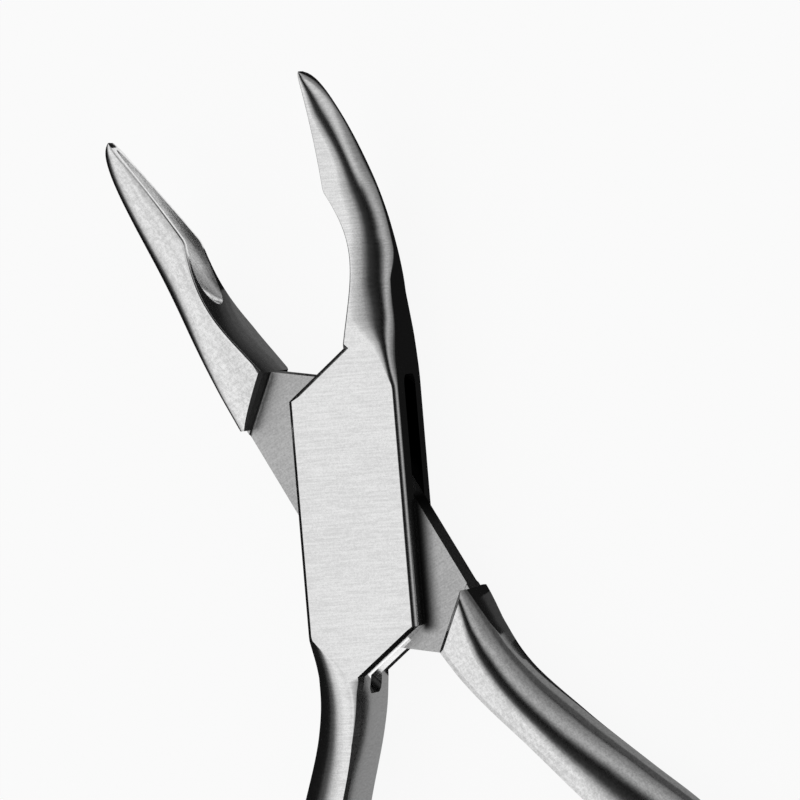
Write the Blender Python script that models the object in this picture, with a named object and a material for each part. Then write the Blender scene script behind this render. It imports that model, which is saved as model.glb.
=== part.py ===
"""Single-action bone rongeur: box joint, curved cupped jaws and a double leaf spring.

Metres and degrees. The origin is on the pivot axis at the back face, +Z runs along the pivot
and +Y towards the tips of the box half. Both halves are drawn closed, with the meeting line
of the jaws on the Y axis, and the insert half is then turned open about the pivot.
A limb is the jaw or the handle of a half. It is drawn with its outer side at +X, y being the
distance from the pivot, and is then mirrored to its place.
"""

import math

import bmesh
import bpy
from mathutils import Matrix, Vector

# Joint block
WIDTH = 0.0121
THICKNESS = 0.0082
CHAMFER_REACH = 0.01295
CHAMFER_ANGLE = 52.0
SIDE_BEVEL = 0.0006
CHAMFER_BEVEL = 0.0003
SLOT_REACH = 0.01435
SLOT_ANGLE = 47.5
SLOT_CORNER = 0.0008
OPEN_ANGLE = 27.9

# Web of the insert half, and its two shoulders
WEB_THICKNESS = 0.0033
WEB_CLEARANCE = 0.0001
WEB_SIDE_INSET = 0.0001
WEB_END_GAP = 0.00083
JAW_SHOULDER_GAP = 0.00115
HANDLE_SHOULDER_GAP = 0.0005
SHOULDER_FILLET = 0.0003
SHOULDER_BEVEL = 0.0004
SHOULDER_CORNER = 0.0006
WEB_ANCHOR = 0.0014

# Pivot pin, peened flush with both faces
PIN_DIAMETER = 0.005
PIN_FIT = 0.00002
WEB_BORE_FIT = 0.00005

# Outer side of a limb beside the joint, where its bevel grows into a rounding
ROUNDING_START = 0.0128
ROUNDING_FULL = 0.0185

# Jaws
JAW_REACH = 0.0457
JAW_FACET_END = 0.0286
OGIVE_START = 0.0175
OGIVE_EASE = 1.5
OGIVE_FULLNESS = 0.465
JAW_ROUNDING = 0.5
RELIEF_START = 0.014
RELIEF_DEPTH = 0.00195
RELIEF_SKEW = 1.52
RELIEF_BACK_SHARE = 0.76
EDGE_HEEL = 0.0334
EDGE_GAP = 0.00005
EDGE_LAND = 0.00006
JAW_BEVEL = 0.0002
FRONT_LIFT_START = 0.026
FRONT_LIFT = 0.0059
FRONT_LIFT_POWER = 1.95
BACK_LIFT_START = 0.0235
BACK_LIFT_POWER = 1.35
TIP_THICKNESS = 0.0024
TIP_ROUNDING = 0.0012
TIP_LAND = 0.0003

# Hollow of each jaw
CUP_START = 0.0255
CUP_START_ROUNDING = 0.006
CUP_TIP_WALL = 0.0009
CUP_END_ROUNDING = 0.004
CUP_HEEL_DEPTH = 0.0017
CUP_TIP_DEPTH = 0.0009
CUP_RIM = 0.0005

# Spring screws, whose place on the handle is also that of the spring's foot
SCREW_POSITION = 0.082
SCREW_DIAMETER = 0.0020
SCREW_CLEARANCE = 0.0001
SCREW_DEPTH = 0.0042
SCREW_HEAD_DIAMETER = 0.0038
SCREW_HEAD_HEIGHT = 0.0011
SCREW_HEAD_BEVEL = 0.0003
SCREW_SLOT_WIDTH = 0.0006
SCREW_SLOT_DEPTH = 0.0005

# Handles: distance from the pivot against inner offset, and against width
HANDLE_REACH = 0.115
HANDLE_ROOT = 0.017
BOW_OFFSET = 0.0148
FLAT_REACH = 0.008
FLAT_START = SCREW_POSITION - FLAT_REACH
FLAT_END = SCREW_POSITION + FLAT_REACH
HANDLE_INNER = (
    (HANDLE_ROOT, 0.00025),
    (0.0200, 0.0006),
    (0.0230, 0.0012),
    (0.0300, 0.0032),
    (0.0380, 0.0054),
    (0.0440, 0.0073),
    ((0.0440 + FLAT_START) / 2, 0.0117),
    (FLAT_START, BOW_OFFSET),
    (FLAT_END, BOW_OFFSET),
    ((FLAT_END + HANDLE_REACH) / 2, 0.0135),
    (HANDLE_REACH, 0.0108),
)
HANDLE_WIDTH = (
    (0.0230, 0.0057),
    (0.0300, 0.0060),
    (0.0380, 0.0069),
    (0.0440, 0.0074),
    (0.0700, 0.0077),
    (HANDLE_REACH, 0.0079),
)
HANDLE_FACET_END = 0.0235
HANDLE_ROUNDING_NEAR = 0.5
HANDLE_ROUNDING_FAR = 0.74
HANDLE_ROUNDING_END = 0.036
HANDLE_BEVEL = 0.0004
HANDLE_END_ROUNDING = 0.0045

# Leaf springs, their two pulls as shares of the straight line from foot to tip
LEAF_FOOT_REACH = 0.0065
LEAF_FOOT_THICKNESS = 0.0014
LEAF_TIP_THICKNESS = 0.0009
LEAF_WIDTH = 0.0060
LEAF_SEAT_GAP = 0.00005
LEAF_MEETING = 0.040
LEAF_OVERRUN = 0.0018
LEAF_TIP_HEADING = 32.0
LEAF_FOOT_PULL = 0.42
LEAF_TIP_PULL = 0.285
TONGUE_WIDTH = 0.0020
TONGUE_LENGTH = 0.0045
TONGUE_CLEARANCE = 0.0003

# Facets
CORNER_STEPS = 5
ROUND_STEPS = 40
END_STEPS = 6
CUP_SIDES = 16
LEAF_STEPS = 22
FINE_PITCH = 0.0013
COARSE_PITCH = 0.0034

HALF_WIDTH = WIDTH / 2
MID_HEIGHT = THICKNESS / 2
WEB_HALF = WEB_THICKNESS / 2
SLOT_THICKNESS = WEB_THICKNESS + 2 * WEB_CLEARANCE
WEB_END_REACH = SLOT_REACH - WEB_END_GAP
WEB_END_ANGLE = 180.0 - CHAMFER_ANGLE
BACK_LIFT = THICKNESS + FRONT_LIFT - TIP_THICKNESS
CUP_END = JAW_REACH - CUP_TIP_WALL
FAR = 0.05


def clamp(value, low=0.0, high=1.0):
    return max(low, min(high, value))


def ease(value):
    value = clamp(value)
    return value * value * (3 - 2 * value)


def blend(low, high, amount):
    return low + (high - low) * amount


def direction(angle):
    return Vector((math.cos(math.radians(angle)), math.sin(math.radians(angle)), 0.0))


def through(points, place):
    """Value at a place of a smooth curve through the points, which never overshoots them."""
    if place <= points[0][0]:
        return points[0][1]
    if place >= points[-1][0]:
        return points[-1][1]
    slopes = [(b[1] - a[1]) / (b[0] - a[0]) for a, b in zip(points, points[1:])]
    tangents = [slopes[0]]
    for before, after in zip(slopes, slopes[1:]):
        same_way = before * after > 0
        tangents.append(2 * before * after / (before + after) if same_way else 0.0)
    tangents.append(slopes[-1])
    index = max(i for i, point in enumerate(points) if point[0] <= place)
    (x0, y0), (x1, y1) = points[index], points[index + 1]
    span = x1 - x0
    t = (place - x0) / span
    value = y0 * (1 + 2 * t) * (1 - t) ** 2 + y1 * t * t * (3 - 2 * t)
    return value + span * t * (1 - t) * (tangents[index] * (1 - t) - tangents[index + 1] * t)


def stations(marks, pitch):
    """Places from the first mark to the last, with one on every mark."""
    places = []
    for low, high in zip(marks, marks[1:]):
        steps = max(1, round((high - low) / pitch))
        places += [blend(low, high, k / steps) for k in range(steps)]
    return places + [marks[-1]]


def rounded_end(length, end, steps):
    """Places that crowd towards a rounded end."""
    return [end - length * (1 - math.sin(math.pi / 2 * k / steps)) for k in range(1, steps + 1)]


# Outline of the limbs


def jaw_outer(y):
    t = clamp((y - OGIVE_START) / (JAW_REACH - OGIVE_START))
    return max(HALF_WIDTH * (1 - t**OGIVE_EASE) ** OGIVE_FULLNESS, EDGE_GAP + TIP_LAND)


def jaw_inner(y, share=1.0):
    t = clamp((y - RELIEF_START) / (EDGE_HEEL - RELIEF_START))
    return EDGE_GAP + share * RELIEF_DEPTH * math.sin(math.pi * t**RELIEF_SKEW)


def jaw_front(y):
    t = clamp((y - FRONT_LIFT_START) / (JAW_REACH - FRONT_LIFT_START))
    return THICKNESS + FRONT_LIFT * t**FRONT_LIFT_POWER


def jaw_back(y):
    t = clamp((y - BACK_LIFT_START) / (JAW_REACH - BACK_LIFT_START))
    return BACK_LIFT * t**BACK_LIFT_POWER


def handle_inner(y):
    return through(HANDLE_INNER, y)


def handle_outer(y):
    root = (HANDLE_ROOT, HALF_WIDTH - HANDLE_INNER[0][1])
    if y < HANDLE_ROOT:
        return HALF_WIDTH
    return handle_inner(y) + through((root,) + HANDLE_WIDTH, y)


def far_side(y, inner_x):
    """The side opposite the limb's outer one: the block's side, its chamfer, then inner_x."""
    normal = direction(180.0 - CHAMFER_ANGLE)
    chamfer = (CHAMFER_REACH - normal.y * y) / normal.x
    return max(min(chamfer, inner_x), -HALF_WIDTH)


def chamfer_marks(inner):
    """Where the chamfer starts on the block's side, and where it meets the inner side."""
    normal = direction(180.0 - CHAMFER_ANGLE)
    start = (CHAMFER_REACH + normal.x * HALF_WIDTH) / normal.y
    low, high = start, (CHAMFER_REACH / normal.y) * 1.3
    for _ in range(50):
        middle = (low + high) / 2
        if (CHAMFER_REACH - normal.y * middle) / normal.x < inner(middle):
            low = middle
        else:
            high = middle
    return start, high


# Cross-sections


def corner(x, z, out_x, out_z, size, backwards):
    """Points round one corner of a section. Size is its width, height and roundness."""
    width, height, roundness = size
    points = []
    for k in range(CORNER_STEPS + 1):
        t = k / CORNER_STEPS
        across = blend(1 - t, math.cos(t * math.pi / 2), roundness)
        up = blend(t, math.sin(t * math.pi / 2), roundness)
        points.append((x - out_x * width * (1 - across), z - out_z * height * (1 - up)))
    return points[::-1] if backwards else points


def section(y, inner_back, inner_front, outer_x, back, front, inner_size, outer_size):
    outline = corner(outer_x, back, 1, -1, outer_size, True)
    outline += corner(outer_x, front, 1, 1, outer_size, False)
    outline += corner(inner_front, front, -1, 1, inner_size, True)
    outline += corner(inner_back, back, -1, -1, inner_size, False)
    return [Vector((x, y, z)) for x, z in outline]


def outer_rounding(y, width, height, share, facet_end):
    grown = ease((y - ROUNDING_START) / (ROUNDING_FULL - ROUNDING_START))
    raised = ease((y - ROUNDING_START) / (facet_end - ROUNDING_START))
    across = blend(SIDE_BEVEL, share * width, grown)
    up = blend(SIDE_BEVEL, 0.49 * height, raised)
    return (min(across, 0.85 * width), min(up, 0.49 * height), grown)


def inner_bevel(y, marks, limb_bevel, width):
    start, end = marks
    slanted = CHAMFER_BEVEL / abs(direction(CHAMFER_ANGLE).x)
    if y <= start:
        return (SIDE_BEVEL, SIDE_BEVEL, 0.0)
    if y <= end:
        return (slanted, CHAMFER_BEVEL, 0.0)
    size = min(limb_bevel, 0.1 * width)
    return (size, size, 0.0)


def jaw_section(y, whole):
    """Section of a jaw, or of the whole box half above the pivot."""
    inner, inner_back = jaw_inner(y), jaw_inner(y, RELIEF_BACK_SHARE)
    if whole:
        inner, inner_back = far_side(y, inner), far_side(y, inner_back)
    outer = max(jaw_outer(y), inner + TIP_LAND)
    front, back = jaw_front(y), jaw_back(y)
    past = clamp((y - (JAW_REACH - TIP_ROUNDING)) / TIP_ROUNDING)
    middle = (front + back) / 2
    half = (front - back) / 2 * blend(0.4, 1.0, math.sqrt(1 - past * past))
    width = outer - max(inner, 0.0)
    marks = chamfer_marks(jaw_inner) if whole else (0.0, 0.0)
    fading = ease((y - ROUNDING_FULL) / (EDGE_HEEL - ROUNDING_FULL))
    bevel = blend(JAW_BEVEL, EDGE_LAND, fading)
    return section(
        y,
        inner_back,
        inner,
        outer,
        middle - half,
        middle + half,
        inner_bevel(y, marks, bevel, width),
        outer_rounding(y, width, 2 * half, JAW_ROUNDING, JAW_FACET_END),
    )


def handle_section(y, whole):
    """Section of a handle, or of the whole box half below the pivot."""
    outer = handle_outer(y)
    inner = far_side(y, handle_inner(y)) if whole else handle_inner(y)
    past = clamp((y - (HANDLE_REACH - HANDLE_END_ROUNDING)) / HANDLE_END_ROUNDING)
    narrowing = blend(0.12, 1.0, math.sqrt(1 - past * past))
    if past > 0:
        middle, half_span = (inner + outer) / 2, (outer - inner) / 2
        inner, outer = middle - half_span * narrowing, middle + half_span * narrowing
    lift = (1 - narrowing) * 0.3 * THICKNESS
    width = outer - max(inner, 0.0)
    share = blend(
        HANDLE_ROUNDING_NEAR,
        HANDLE_ROUNDING_FAR,
        ease((y - ROUNDING_FULL) / (HANDLE_ROUNDING_END - ROUNDING_FULL)),
    )
    marks = chamfer_marks(handle_inner) if whole else (0.0, 0.0)
    return section(
        y,
        inner,
        inner,
        outer,
        lift,
        THICKNESS - lift,
        inner_bevel(y, marks, HANDLE_BEVEL, width),
        outer_rounding(y, width, THICKNESS - 2 * lift, share, HANDLE_FACET_END),
    )


# Mesh tools


def loft(rings):
    """A closed solid through rings of equally many points, in triangles but for its ends."""
    mesh = bmesh.new()
    made = bmesh.ops.create_circle(mesh, cap_ends=False, radius=1.0, segments=len(rings[0]))
    ring = made["verts"]
    for vertex, point in zip(ring, rings[0]):
        vertex.co = point
    first = list(ring)
    for points in rings[1:]:
        edges = [mesh.edges.get((a, b)) for a, b in zip(ring, ring[1:] + ring[:1])]
        made = bmesh.ops.extrude_edge_only(mesh, edges=edges)
        copies = [item for item in made["geom"] if isinstance(item, bmesh.types.BMVert)]
        at_place = {tuple(vertex.co): vertex for vertex in copies}
        ring = [at_place[tuple(vertex.co)] for vertex in ring]
        for vertex, point in zip(ring, points):
            vertex.co = point
    bmesh.ops.triangulate(mesh, faces=mesh.faces)
    mesh.faces.new(first)
    mesh.faces.new(ring)
    bmesh.ops.recalc_face_normals(mesh, faces=mesh.faces)
    return mesh


def cut_flat(mesh, point, normal):
    """Removes what lies behind a plane and closes the cut."""
    geometry = list(mesh.verts) + list(mesh.edges) + list(mesh.faces)
    made = bmesh.ops.bisect_plane(
        mesh, geom=geometry, dist=1e-8, plane_co=point, plane_no=normal, clear_inner=True
    )
    edges = [item for item in made["geom_cut"] if isinstance(item, bmesh.types.BMEdge)]
    bmesh.ops.contextual_create(mesh, geom=edges)


def block(size, place):
    mesh = bmesh.new()
    bmesh.ops.create_cube(mesh, size=1.0)
    bmesh.ops.transform(mesh, matrix=place @ Matrix.Diagonal((*size, 1.0)), verts=mesh.verts)
    return mesh


def turned(profile, place):
    """A solid turned round Z from a profile of (radius, height) that starts and ends on Z."""
    mesh = bmesh.new()
    points = [mesh.verts.new((radius, 0.0, height)) for radius, height in profile]
    edges = [mesh.edges.new(pair) for pair in zip(points, points[1:])]
    bmesh.ops.spin(
        mesh,
        geom=points + edges,
        axis=(0, 0, 1),
        cent=(0, 0, 0),
        angle=math.tau,
        steps=ROUND_STEPS,
        use_merge=True,
    )
    bmesh.ops.remove_doubles(mesh, verts=mesh.verts, dist=1e-7)
    bmesh.ops.recalc_face_normals(mesh, faces=mesh.faces)
    bmesh.ops.transform(mesh, matrix=place, verts=mesh.verts)
    return mesh


def mirrored(mesh):
    bmesh.ops.scale(mesh, vec=(-1, 1, 1), verts=mesh.verts)
    bmesh.ops.reverse_faces(mesh, faces=mesh.faces)
    return mesh


def half_turn(mesh):
    bmesh.ops.rotate(mesh, matrix=Matrix.Rotation(math.pi, 3, "Z"), verts=mesh.verts)
    return mesh


def along_x(x, y):
    """Turns a piece built round Z so that its +Z points along +X from the place given."""
    return Matrix.Translation((x, y, MID_HEIGHT)) @ Matrix.Rotation(math.pi / 2, 4, "Y")


# Objects


def new_object(name, mesh, parent=None, material=None):
    data = bpy.data.meshes.new(name)
    mesh.to_mesh(data)
    mesh.free()
    made = bpy.data.objects.new(name, data)
    bpy.context.scene.collection.objects.link(made)
    made.parent = parent
    if material:
        data.materials.append(material)
        data.shade_smooth()
        data.set_sharp_from_angle(angle=math.radians(30))
    return made


def helper(name, mesh, parent=None):
    made = new_object(name, mesh, parent)
    made.hide_render = True
    made.display_type = "WIRE"
    return made


def combine(target, other, operation):
    modifier = target.modifiers.new(other.name, "BOOLEAN")
    modifier.operation = operation
    modifier.solver = "EXACT"
    modifier.object = other


def steel(name, colour, roughness):
    material = bpy.data.materials.new(name)
    material.use_nodes = True
    shader = material.node_tree.nodes["Principled BSDF"]
    shader.inputs["Base Color"].default_value = (*colour, 1.0)
    shader.inputs["Roughness"].default_value = roughness
    shader.inputs["Metallic"].default_value = 1.0
    material.diffuse_color = (*colour, 1.0)
    return material


# Parts of the halves


def jaw_places(marks):
    straight = stations([*marks, JAW_REACH - TIP_ROUNDING], FINE_PITCH)
    return straight + rounded_end(TIP_ROUNDING, JAW_REACH, END_STEPS)


def handle_places(marks):
    near = stations([*marks, HANDLE_ROUNDING_END], 1.3 * FINE_PITCH)
    far = stations([HANDLE_ROUNDING_END, HANDLE_REACH - HANDLE_END_ROUNDING], COARSE_PITCH)
    return near + far[1:] + rounded_end(HANDLE_END_ROUNDING, HANDLE_REACH, END_STEPS)


def box_blank():
    """The box half before its slot is cut: handle at -X, block, jaw at +X."""
    above = jaw_places([0.0, ROUNDING_START * 0.8, *chamfer_marks(jaw_inner)])
    below = handle_places([0.0, ROUNDING_START * 0.8, *chamfer_marks(handle_inner)])
    rings = []
    for y in reversed(below[1:]):
        outline = handle_section(y, whole=True)
        rings.append([Vector((-p.x, -p.y, p.z)) for p in reversed(outline)])
    for y in above:
        rings.append(jaw_section(y, whole=True))
    return loft(rings)


def slot_cutter():
    size = (2 * SLOT_REACH, 2 * FAR, SLOT_THICKNESS)
    turn = Matrix.Rotation(math.radians(SLOT_ANGLE), 4, "Z")
    mesh = block(size, Matrix.Translation((0, 0, MID_HEIGHT)) @ turn)
    along = direction(SLOT_ANGLE + 90)
    ends = [e for e in mesh.edges if abs((e.verts[0].co - e.verts[1].co).dot(along)) > FAR]
    bmesh.ops.bevel(
        mesh,
        geom=ends,
        offset=SLOT_CORNER,
        offset_type="OFFSET",
        affect="EDGES",
        segments=4,
        profile=0.5,
        material=-1,
    )
    return mesh


def shouldered(mesh, reach):
    """Cuts a limb off at its shoulder and bevels the shoulder's front, back and outer edges."""
    normal = direction(CHAMFER_ANGLE)
    cut_flat(mesh, normal * reach, normal)
    corner_y = (reach - normal.x * HALF_WIDTH) / normal.y + SHOULDER_CORNER
    cut_flat(mesh, Vector((HALF_WIDTH, corner_y, 0)), normal - Vector((1, 0, 0)))
    up = Vector((0, 0, 1))
    for face, outward in ((THICKNESS, up), (0.0, -up)):
        edge = normal * (reach + SHOULDER_BEVEL) + Vector((0, 0, face))
        cut_flat(mesh, edge, normal - outward)
    return mesh


def insert_jaw():
    start = CHAMFER_REACH * 0.5
    rings = [jaw_section(y, whole=False) for y in jaw_places([start, ROUNDING_START])]
    return shouldered(loft(rings), CHAMFER_REACH + JAW_SHOULDER_GAP)


def insert_handle():
    start = CHAMFER_REACH * 0.5
    rings = [handle_section(y, whole=False) for y in handle_places([start, ROUNDING_START])]
    return shouldered(loft(rings), CHAMFER_REACH + HANDLE_SHOULDER_GAP)


def web():
    """Flat web between the shoulders, in sections parallel to them, fillets included."""
    across, along = direction(CHAMFER_ANGLE), direction(CHAMFER_ANGLE + 90)
    side, end = Vector((1, 0, 0)), direction(WEB_END_ANGLE)
    side_reach = HALF_WIDTH - WEB_SIDE_INSET
    limits = ((side, side_reach), (-side, side_reach), (end, WEB_END_REACH), (-end, WEB_END_REACH))

    def slice_at(place, half):
        low, high = -FAR, FAR
        for normal, reach in limits:
            rate = normal.dot(along)
            bound = (reach - normal.dot(across) * place) / rate
            if rate > 0:
                high = min(high, bound)
            else:
                low = max(low, bound)
        centre = across * place + Vector((0, 0, MID_HEIGHT))
        lift = Vector((0, 0, half))
        near, away = centre + along * low, centre + along * high
        return [near - lift, away - lift, away + lift, near + lift]

    def root(shoulder, sign):
        """Places and half thicknesses through a shoulder's fillet and on into the limb."""
        steps = [k * math.pi / 6 for k in range(4)]
        points = []
        for turn in steps:
            place = shoulder - SHOULDER_FILLET * (1 - math.sin(turn))
            points.append((sign * place, WEB_HALF + SHOULDER_FILLET * (1 - math.cos(turn))))
        points.append((sign * (shoulder + WEB_ANCHOR), WEB_HALF + SHOULDER_FILLET))
        return points

    corner_y = (WEB_END_REACH + end.x * side_reach) / end.y
    corner_place = Vector((-side_reach, corner_y, 0)).dot(across)
    sections = root(CHAMFER_REACH + HANDLE_SHOULDER_GAP, -1)[::-1]
    sections += [(-corner_place, WEB_HALF), (corner_place, WEB_HALF)]
    sections += root(CHAMFER_REACH + JAW_SHOULDER_GAP, 1)
    return loft([slice_at(place, half) for place, half in sections])


def cup_cutter():
    """Long hollow in the jaw's inner face, deepest in the middle and blind at the tip."""
    straight_start, straight_end = CUP_START + CUP_START_ROUNDING, CUP_END - CUP_END_ROUNDING
    mirrored_end = rounded_end(CUP_START_ROUNDING, -CUP_START, END_STEPS)
    places = [-y for y in reversed(mirrored_end)]
    places += stations([straight_start, straight_end], FINE_PITCH)
    places += rounded_end(CUP_END_ROUNDING, CUP_END, END_STEPS)
    rings = []
    for y in places:
        before = clamp((straight_start - y) / CUP_START_ROUNDING)
        past = clamp((y - straight_end) / CUP_END_ROUNDING)
        fade = blend(0.08, 1.0, math.sqrt(1 - max(before, past) ** 2))
        middle = (jaw_front(y) + jaw_back(y)) / 2
        along = clamp((y - straight_start) / (straight_end - straight_start))
        half = ((jaw_front(y) - jaw_back(y)) / 2 - CUP_RIM) * fade
        depth = blend(CUP_HEEL_DEPTH, CUP_TIP_DEPTH, along) * fade
        turns = [math.tau * k / CUP_SIDES for k in range(CUP_SIDES)]
        rings.append([Vector((depth * math.cos(a), y, middle + half * math.sin(a))) for a in turns])
    return loft(rings)


def pin_cutter(radius):
    profile = [(0, -FAR), (radius, -FAR), (radius, FAR), (0, FAR)]
    return turned(profile, Matrix.Identity(4))


def screw_hole():
    """Blind hole in the box half's handle, from its inner face."""
    radius = SCREW_DIAMETER / 2 + SCREW_CLEARANCE
    bottom = -(SCREW_DEPTH + 3 * SCREW_CLEARANCE)
    profile = [(0, bottom), (radius, bottom), (radius, BOW_OFFSET / 2), (0, BOW_OFFSET / 2)]
    return turned(profile, along_x(-handle_inner(SCREW_POSITION), -SCREW_POSITION))


# Springs and screws, drawn for the box half


def leaf_path():
    """Middle line of the box half's leaf: a straight foot, then one bend to the meeting."""
    face = -handle_inner(SCREW_POSITION) + LEAF_SEAT_GAP + LEAF_FOOT_THICKNESS / 2
    heading = direction(OPEN_ANGLE / 2 + LEAF_TIP_HEADING)
    meeting = direction(OPEN_ANGLE / 2 - 90) * LEAF_MEETING
    screw, reach = Vector((face, -SCREW_POSITION, 0)), Vector((0, LEAF_FOOT_REACH, 0))
    start, end = screw + reach, meeting + heading * LEAF_OVERRUN
    chord = (end - start).length
    foot_pull = Vector((0, LEAF_FOOT_PULL * chord, 0))
    handles = (start, start + foot_pull, end - heading * LEAF_TIP_PULL * chord, end)
    path = [screw - reach, screw]
    for k in range(LEAF_STEPS + 1):
        t = k / LEAF_STEPS
        weights = ((1 - t) ** 3, 3 * t * (1 - t) ** 2, 3 * t * t * (1 - t), t**3)
        path.append(sum((w * h for w, h in zip(weights, handles)), Vector()))
    return path, heading


def leaf_blank():
    path, heading = leaf_path()
    rings = []
    for index, point in enumerate(path):
        before, after = path[max(index - 1, 0)], path[min(index + 1, len(path) - 1)]
        tangent = (after - before).normalized()
        if index <= 2:
            tangent = Vector((0, 1, 0))
        if index == len(path) - 1:
            tangent = heading
        side = Vector((tangent.y, -tangent.x, 0))
        bent = ease((index - 2) / LEAF_STEPS)
        half = blend(LEAF_FOOT_THICKNESS, LEAF_TIP_THICKNESS, bent) / 2
        lift = Vector((0, 0, LEAF_WIDTH / 2))
        centre = point + Vector((0, 0, MID_HEIGHT))
        rings.append(
            [
                centre - side * half - lift,
                centre + side * half - lift,
                centre + side * half + lift,
                centre - side * half + lift,
            ]
        )
    return loft(rings)


def at_leaf_tip(back, height):
    """A block's place on the leaf: a distance back from its tip and a height off its middle."""
    path, heading = leaf_path()
    point = path[-1] - heading * back + Vector((0, 0, MID_HEIGHT + height))
    turn = math.atan2(heading.y, heading.x)
    return Matrix.Translation(point) @ Matrix.Rotation(turn, 4, "Z")


def fork_cutter():
    size = (2 * TONGUE_LENGTH, LEAF_MEETING / 5, TONGUE_WIDTH + 2 * TONGUE_CLEARANCE)
    return block(size, at_leaf_tip(0, 0))


def tongue_cutter(sign):
    height = LEAF_WIDTH
    size = (2 * TONGUE_LENGTH, LEAF_MEETING / 5, height)
    return block(size, at_leaf_tip(0, sign * (TONGUE_WIDTH + height) / 2))


def foot_hole():
    radius = SCREW_DIAMETER / 2 + 2 * SCREW_CLEARANCE
    profile = [(0, -BOW_OFFSET / 3), (radius, -BOW_OFFSET / 3), (radius, BOW_OFFSET / 3)]
    profile.append((0, BOW_OFFSET / 3))
    return turned(profile, along_x(-handle_inner(SCREW_POSITION), -SCREW_POSITION))


def screw_blank():
    shank, head = SCREW_DIAMETER / 2, SCREW_HEAD_DIAMETER / 2
    seat = LEAF_FOOT_THICKNESS + 2 * LEAF_SEAT_GAP
    top = seat + SCREW_HEAD_HEIGHT
    profile = [
        (0, -SCREW_DEPTH),
        (shank * 0.7, -SCREW_DEPTH),
        (shank, -SCREW_DEPTH + shank * 0.3),
        (shank, seat),
        (head, seat),
        (head, top - SCREW_HEAD_BEVEL),
        (head - SCREW_HEAD_BEVEL, top),
        (0, top),
    ]
    return turned(profile, along_x(-handle_inner(SCREW_POSITION), -SCREW_POSITION))


def screw_slot():
    top = LEAF_FOOT_THICKNESS + 2 * LEAF_SEAT_GAP + SCREW_HEAD_HEIGHT
    x = -handle_inner(SCREW_POSITION) + top
    size = (2 * SCREW_SLOT_DEPTH, SCREW_SLOT_WIDTH, 2 * SCREW_HEAD_DIAMETER)
    return block(size, Matrix.Translation((x, -SCREW_POSITION, MID_HEIGHT)))


# The assembly


def build_box_half(material):
    half = new_object("box_half", box_blank(), material=material)
    combine(half, helper("slot_cutter", slot_cutter()), "DIFFERENCE")
    combine(half, helper("box_bore", pin_cutter(PIN_DIAMETER / 2 + PIN_FIT)), "DIFFERENCE")
    combine(half, helper("box_cup", cup_cutter()), "DIFFERENCE")
    combine(half, helper("box_screw_hole", screw_hole()), "DIFFERENCE")


def build_insert_half(material, pivot):
    half = new_object("insert_half", mirrored(web()), pivot, material)
    jaw = helper("insert_jaw", mirrored(insert_jaw()), pivot)
    handle = helper("insert_handle", half_turn(mirrored(insert_handle())), pivot)
    combine(half, jaw, "UNION")
    combine(half, handle, "UNION")
    bore = pin_cutter(PIN_DIAMETER / 2 + WEB_BORE_FIT)
    combine(half, helper("insert_bore", bore, pivot), "DIFFERENCE")
    combine(half, helper("insert_cup", mirrored(cup_cutter()), pivot), "DIFFERENCE")
    combine(half, helper("insert_screw_hole", mirrored(screw_hole()), pivot), "DIFFERENCE")


def build_pin(material):
    radius = PIN_DIAMETER / 2
    profile = [(0, 0), (radius, 0), (radius, THICKNESS), (0, THICKNESS)]
    new_object("pivot_pin", turned(profile, Matrix.Identity(4)), material=material)


def build_springs(material, pivot):
    forked = new_object("box_leaf_spring", leaf_blank(), material=material)
    combine(forked, helper("fork", fork_cutter()), "DIFFERENCE")
    combine(forked, helper("box_foot_hole", foot_hole()), "DIFFERENCE")
    tongued = new_object("insert_leaf_spring", mirrored(leaf_blank()), pivot, material)
    for name, sign in (("tongue_front", 1), ("tongue_back", -1)):
        combine(tongued, helper(name, mirrored(tongue_cutter(sign)), pivot), "DIFFERENCE")
    combine(tongued, helper("insert_foot_hole", mirrored(foot_hole()), pivot), "DIFFERENCE")


def build_screws(material, pivot):
    for side, parent in (("box", None), ("insert", pivot)):
        blank, slot = screw_blank(), screw_slot()
        if parent:
            blank, slot = mirrored(blank), mirrored(slot)
        screw = new_object(side + "_spring_screw", blank, parent, material)
        combine(screw, helper(side + "_screw_slot", slot, parent), "DIFFERENCE")


def main():
    for old in list(bpy.data.objects):
        bpy.data.objects.remove(old)
    pivot = bpy.data.objects.new("insert_pivot", None)
    bpy.context.scene.collection.objects.link(pivot)
    pivot.rotation_euler.z = math.radians(OPEN_ANGLE)
    satin = steel("satin_steel", (0.80, 0.80, 0.80), 0.34)
    web_steel = steel("insert_steel", (0.74, 0.74, 0.75), 0.38)
    spring_steel = steel("spring_steel", (0.66, 0.67, 0.68), 0.26)
    screw_steel = steel("screw_steel", (0.70, 0.70, 0.71), 0.30)
    build_box_half(satin)
    build_insert_half(web_steel, pivot)
    build_pin(satin)
    build_springs(spring_steel, pivot)
    build_screws(screw_steel, pivot)


main()
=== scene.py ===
"""The looks of a small bone rongeur with a box joint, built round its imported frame."""

import math

import bmesh
import bpy
from bpy.props import FloatProperty, FloatVectorProperty, PointerProperty
from mathutils import Matrix, Vector


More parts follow.
